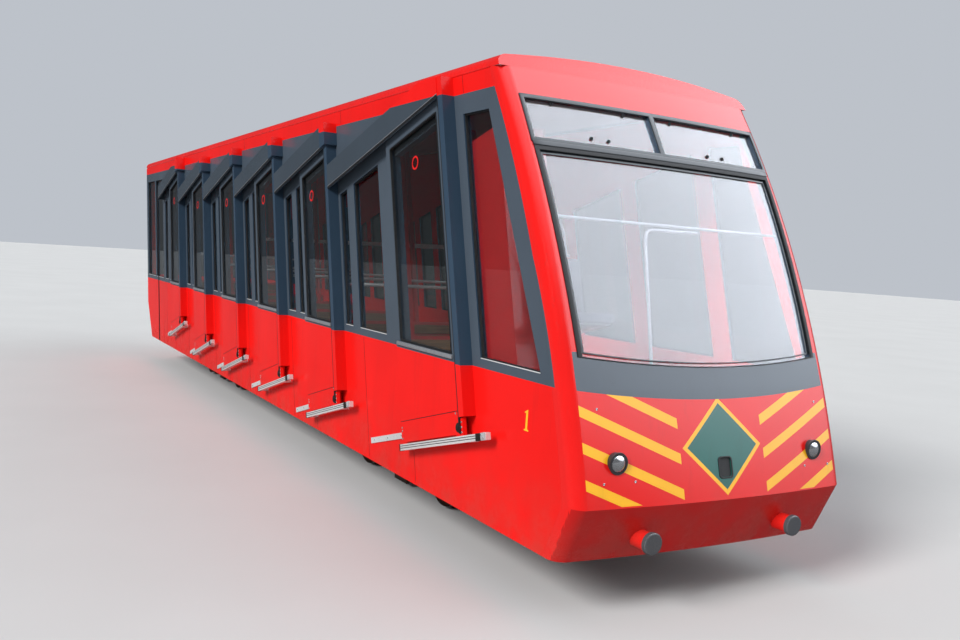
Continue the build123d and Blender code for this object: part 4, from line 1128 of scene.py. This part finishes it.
# A rail, a bent pole and a bracket behind the windscreen
def makeIndoorRails():
    rail = {"radius": 0.011, "thin": 0.010, "poleBend": 0.08, "elbowBend": 0.06}
    x, z = 6.28, 2.487
    cross = tube([(x, -1.09, z), (x, 1.09, z)], rail["radius"])
    pole = tube(roundCorners([(6.50, -0.21, 1.18), (6.50, -0.21, 1.52), (x, -0.175, 2.452), (x, 0.30, 2.456)],
                             rail["poleBend"]), rail["radius"])
    elbow = tube(roundCorners([(x, -0.95, z), (x, -0.86, 2.42), (x, -0.82, 2.24)], rail["elbowBend"]),
                 rail["thin"])
    clip = {"x": 6.27, "y": -0.82, "z": 2.235, "half": 0.022, "halfHigh": 0.008, "thick": 0.02}
    y0, y1 = clip["y"] - clip["half"], clip["y"] + clip["half"]
    z0, z1 = clip["z"] - clip["halfHigh"], clip["z"] + clip["halfHigh"]
    bracket = plate([(clip["x"], y0, z0), (clip["x"], y1, z0), (clip["x"], y1, z1), (clip["x"], y0, z1)],
                    (clip["thick"], 0, 0), 0.003)
    dress([cross, pole, elbow, bracket], "indoorRails", "sillMetal", 50)


# Driver's seat: two padded pieces on a plain pedestal
def makeSeat():
    seat = {"h": -0.62, "y": -0.77, "half": 0.19, "depth": 0.40, "padV": 0.88, "pad": 0.08, "backV": 1.40,
            "round": 0.018, "column": 0.035, "foot": 0.04, "floorV": 0.44, "axisH": 0.2, "panHalf": 0.17}
    h, y, padV = seat["h"], seat["y"], seat["padV"]
    pads = []
    for name, ha, hb, va, vb in (
            ("seatCushion", h + 0.075, h + seat["depth"] - 0.01, padV + 0.012, padV + seat["pad"]),
            ("seatBack", h + 0.004, h + seat["pad"] - 0.004, padV + 0.07, seat["backV"] - 0.005)):
        cushion = levelPlate(ha, hb, va, vb, y - seat["half"], 2 * seat["half"])
        applyModifier(cushion, "BEVEL", width=seat["round"], segments=3, limit_method="ANGLE")
        editAll(cushion)
        bpy.ops.mesh.subdivide(number_cuts=2)
        leaveEdit()
        applyModifier(cushion, "SUBSURF", levels=2, render_levels=2)
        dress(cushion, name, "seatCloth", 60)
        pads.append(cushion)
    up = Vector((-math.sin(car["slope"]), 0, math.cos(car["slope"])))
    x, z = level(h + seat["axisH"], (seat["floorV"] + padV) / 2)
    column = disc(seat["column"], padV - seat["floorV"] - 0.004, (x, y, z), up, 24, 0.003)
    x, z = level(h + seat["axisH"], seat["floorV"] + 0.012)
    foot = disc(seat["foot"], 0.02, (x, y, z), up, 32, 0.004)
    pan = levelPlate(h + 0.02, h + seat["depth"] - 0.03, padV - 0.002, padV + 0.014, y - seat["panHalf"],
                     2 * seat["panHalf"], 0.004)
    base = dress([column, foot, pan], "seatPedestal", "darkPlastic", 35)
    for piece in (base, *pads):
        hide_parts("driver_seat")


# Bogies: axle box covers with their bolts, and bolts along the frames
def makeBogieTrim():
    gear = {"axleZ": 0.305, "half": 0.83, "frameY": 0.65, "cover": 0.07, "coverThick": 0.03, "coverOut": 0.022,
            "circle": 0.052, "circleOut": 0.039, "frameZ": 0.335, "frameOut": 0.004,
            "frameBolts": (-0.45, -0.25, 0.25, 0.45)}
    for place, bogieX, body in (("front", bogieXs[0], "bogie_front"), ("rear", bogieXs[1], "bogie_rear")):
        covers, heads = [], []
        for sign in (-1, 1):
            for x in (bogieX - gear["half"], bogieX + gear["half"]):
                spot = (x, sign * (gear["frameY"] + gear["coverOut"]), gear["axleZ"])
                covers.append(disc(gear["cover"], gear["coverThick"], spot, (0, 1, 0), 32, 0.006))
                for n in range(6):
                    a = n * math.pi / 3
                    spot = (x + gear["circle"] * math.cos(a), sign * (gear["frameY"] + gear["circleOut"]),
                            gear["axleZ"] + gear["circle"] * math.sin(a))
                    heads.append(boltHead(0.008, 0.006, spot, (0, sign, 0)))
            for dx in gear["frameBolts"]:
                spot = (bogieX + dx, sign * (gear["frameY"] + gear["frameOut"]), gear["frameZ"])
                heads.append(boltHead(0.012, 0.010, spot, (0, sign, 0)))
        dress(covers, f"axleCovers.{place}", "gearSteel", 35, body)
        dress(heads, f"bogieBolts.{place}", "gearSteel", 35, body)


# Uphill end: the lamps' lenses and the rubber of the window
def makeTailTrim():
    tail = {"lampY": 0.848, "lampZ": 1.2, "lens": 0.05, "lensThick": 0.012, "lensOut": 0.027}
    lampX = upright(car["tailH"], tail["lampZ"])[0] - tail["lensOut"]
    lenses = [disc(tail["lens"], tail["lensThick"], (lampX, y, tail["lampZ"]), (1, 0, 0), 32, 0.004)
              for y in (-tail["lampY"], tail["lampY"])]
    dress(lenses, "tailLenses", "tailLens", 50)
    pane = {"half": 0.96, "foot": 1.5, "head": 3.25, "wide": 0.016, "deep": 0.02, "rounding": 0.03}
    corners = []
    for y, z in ((-pane["half"], pane["foot"]), (pane["half"], pane["foot"]), (pane["half"], pane["head"]),
                 (-pane["half"], pane["head"])):
        corners.append((upright(car["tailH"], z)[0] + 0.001, y, z))
    rubber = ring(corners, pane["wide"], (pane["deep"], 0, 0), pane["rounding"], 0.002)
    dress(rubber, "rearRubber", "blackRubber", 35)


bogieXs = [level(postHs[1] - 0.035, floorVs[0])[0], level(postHs[5] - 0.035, floorVs[4])[0]]
print("stage: valley end")
makeFrontFrames()
makeFrontFittings()
print("stage: windows")
makeWindowTrim()
print("stage: doors")
for number in range(6):
    makeDoorTrim(number)
makeRailTrim()
makeCoverEdges()
makePostSeals()
makeSideLines()
print("stage: indoors and running gear")
makeIndoorRails()
makeSeat()
makeBogieTrim()
makeTailTrim()
print("stage: camera and light")

# Camera at the photo's angle
view = {"place": (11.1946, -4.2881, 2.1856), "ahead": (-0.86298726, 0.5006621, -0.06775285),
        "up": (-0.09031756, -0.02093601, 0.99569294), "lens": 34.205, "sensor": 36.0, "reach": 500}
ahead, up = Vector(view["ahead"]).normalized(), Vector(view["up"]).normalized()
right = ahead.cross(up).normalized()
up = right.cross(ahead)
turn = Matrix((right, up, -ahead)).transposed()
bpy.ops.object.camera_add(location=view["place"], rotation=turn.to_euler())
camera = bpy.context.active_object
camera.data.sensor_width = view["sensor"]
camera.data.lens = view["lens"]
camera.data.clip_end = view["reach"]
bpy.context.scene.camera = camera

# Plain pale floor that looks darker where the object mirrors it
ground = {"size": 300.0, "z": -0.001, "clouds": 0.4, "low": (0.62, 0.62, 0.61, 1),
          "high": (0.70, 0.70, 0.69, 1), "mirrored": (0.10, 0.10, 0.10, 1)}
bpy.ops.mesh.primitive_plane_add(size=ground["size"], location=(0, 0, ground["z"]))
floor = bpy.context.active_object
floor.name = "studioFloor"
floorMaterial, tree, shader = newMaterial("studioFloor", Roughness=0.9)
cloudy = noise(tree, objectPoint(tree), ground["clouds"], 3.0)
pale = blendColours(tree, cloudy, ground["low"], ground["high"])
mirrored = tree.nodes.new("ShaderNodeLightPath").outputs["Is Glossy Ray"]
tree.links.new(blendColours(tree, mirrored, pale, ground["mirrored"]), shader.inputs["Base Color"])
floor.data.materials.append(floorMaterial)

# Gloss on the object mirrors a bright soft sky ahead and above, and a dark horizon
sky = {"colour": (0.82, 0.87, 0.95, 1), "plain": 0.62, "fill": 0.40, "towards": (0.35, 0.65, 0.68),
       "edge": (0.72, 0.93), "horizon": 0.09, "ahead": 4.6, "overheadEdge": (0.55, 0.9), "overhead": 2.5}
world = bpy.data.worlds.new("studioWorld")
world.use_nodes = True
tree = world.node_tree
background = tree.nodes["Background"]
background.inputs["Color"].default_value = sky["colour"]
direction = tree.nodes.new("ShaderNodeTexCoord").outputs["Generated"]
towards = tree.nodes.new("ShaderNodeVectorMath")
towards.operation = "DOT_PRODUCT"
tree.links.new(direction, towards.inputs[0])
towards.inputs[1].default_value = Vector(sky["towards"]).normalized()
glowAhead = remap(tree, towards.outputs["Value"], *sky["edge"], sky["horizon"], sky["ahead"])
glowAbove = remap(tree, separate(tree, direction)[2], *sky["overheadEdge"], 0.0, sky["overhead"])
ray = tree.nodes.new("ShaderNodeLightPath").outputs
plain = remap(tree, ray["Is Diffuse Ray"], 0.0, 1.0, sky["plain"], sky["fill"])
mirroredSky = math2(tree, "MAXIMUM", glowAhead, glowAbove)
tree.links.new(remap(tree, ray["Is Glossy Ray"], 0.0, 1.0, plain, mirroredSky), background.inputs["Strength"])
bpy.context.scene.world = world
bpy.context.scene.view_settings.view_transform = "Standard"

lights = [
    {"name": "keyLight", "towards": (-0.25, 0.80, -0.52), "strength": 3.2, "softness": 22.0},
    {"name": "farLight", "towards": (-0.55, -0.65, -0.52), "strength": 0.9, "softness": 60.0},
]
for light in lights:
    turn = Vector(light["towards"]).to_track_quat("-Z", "Y").to_euler()
    bpy.ops.object.light_add(type="SUN", location=(0, 0, 12), rotation=turn)
    lamp = bpy.context.active_object
    lamp.name = light["name"]
    lamp.data.energy = light["strength"]
    lamp.data.angle = math.radians(light["softness"])
    lamp.visible_glossy = False

print("stage: done")
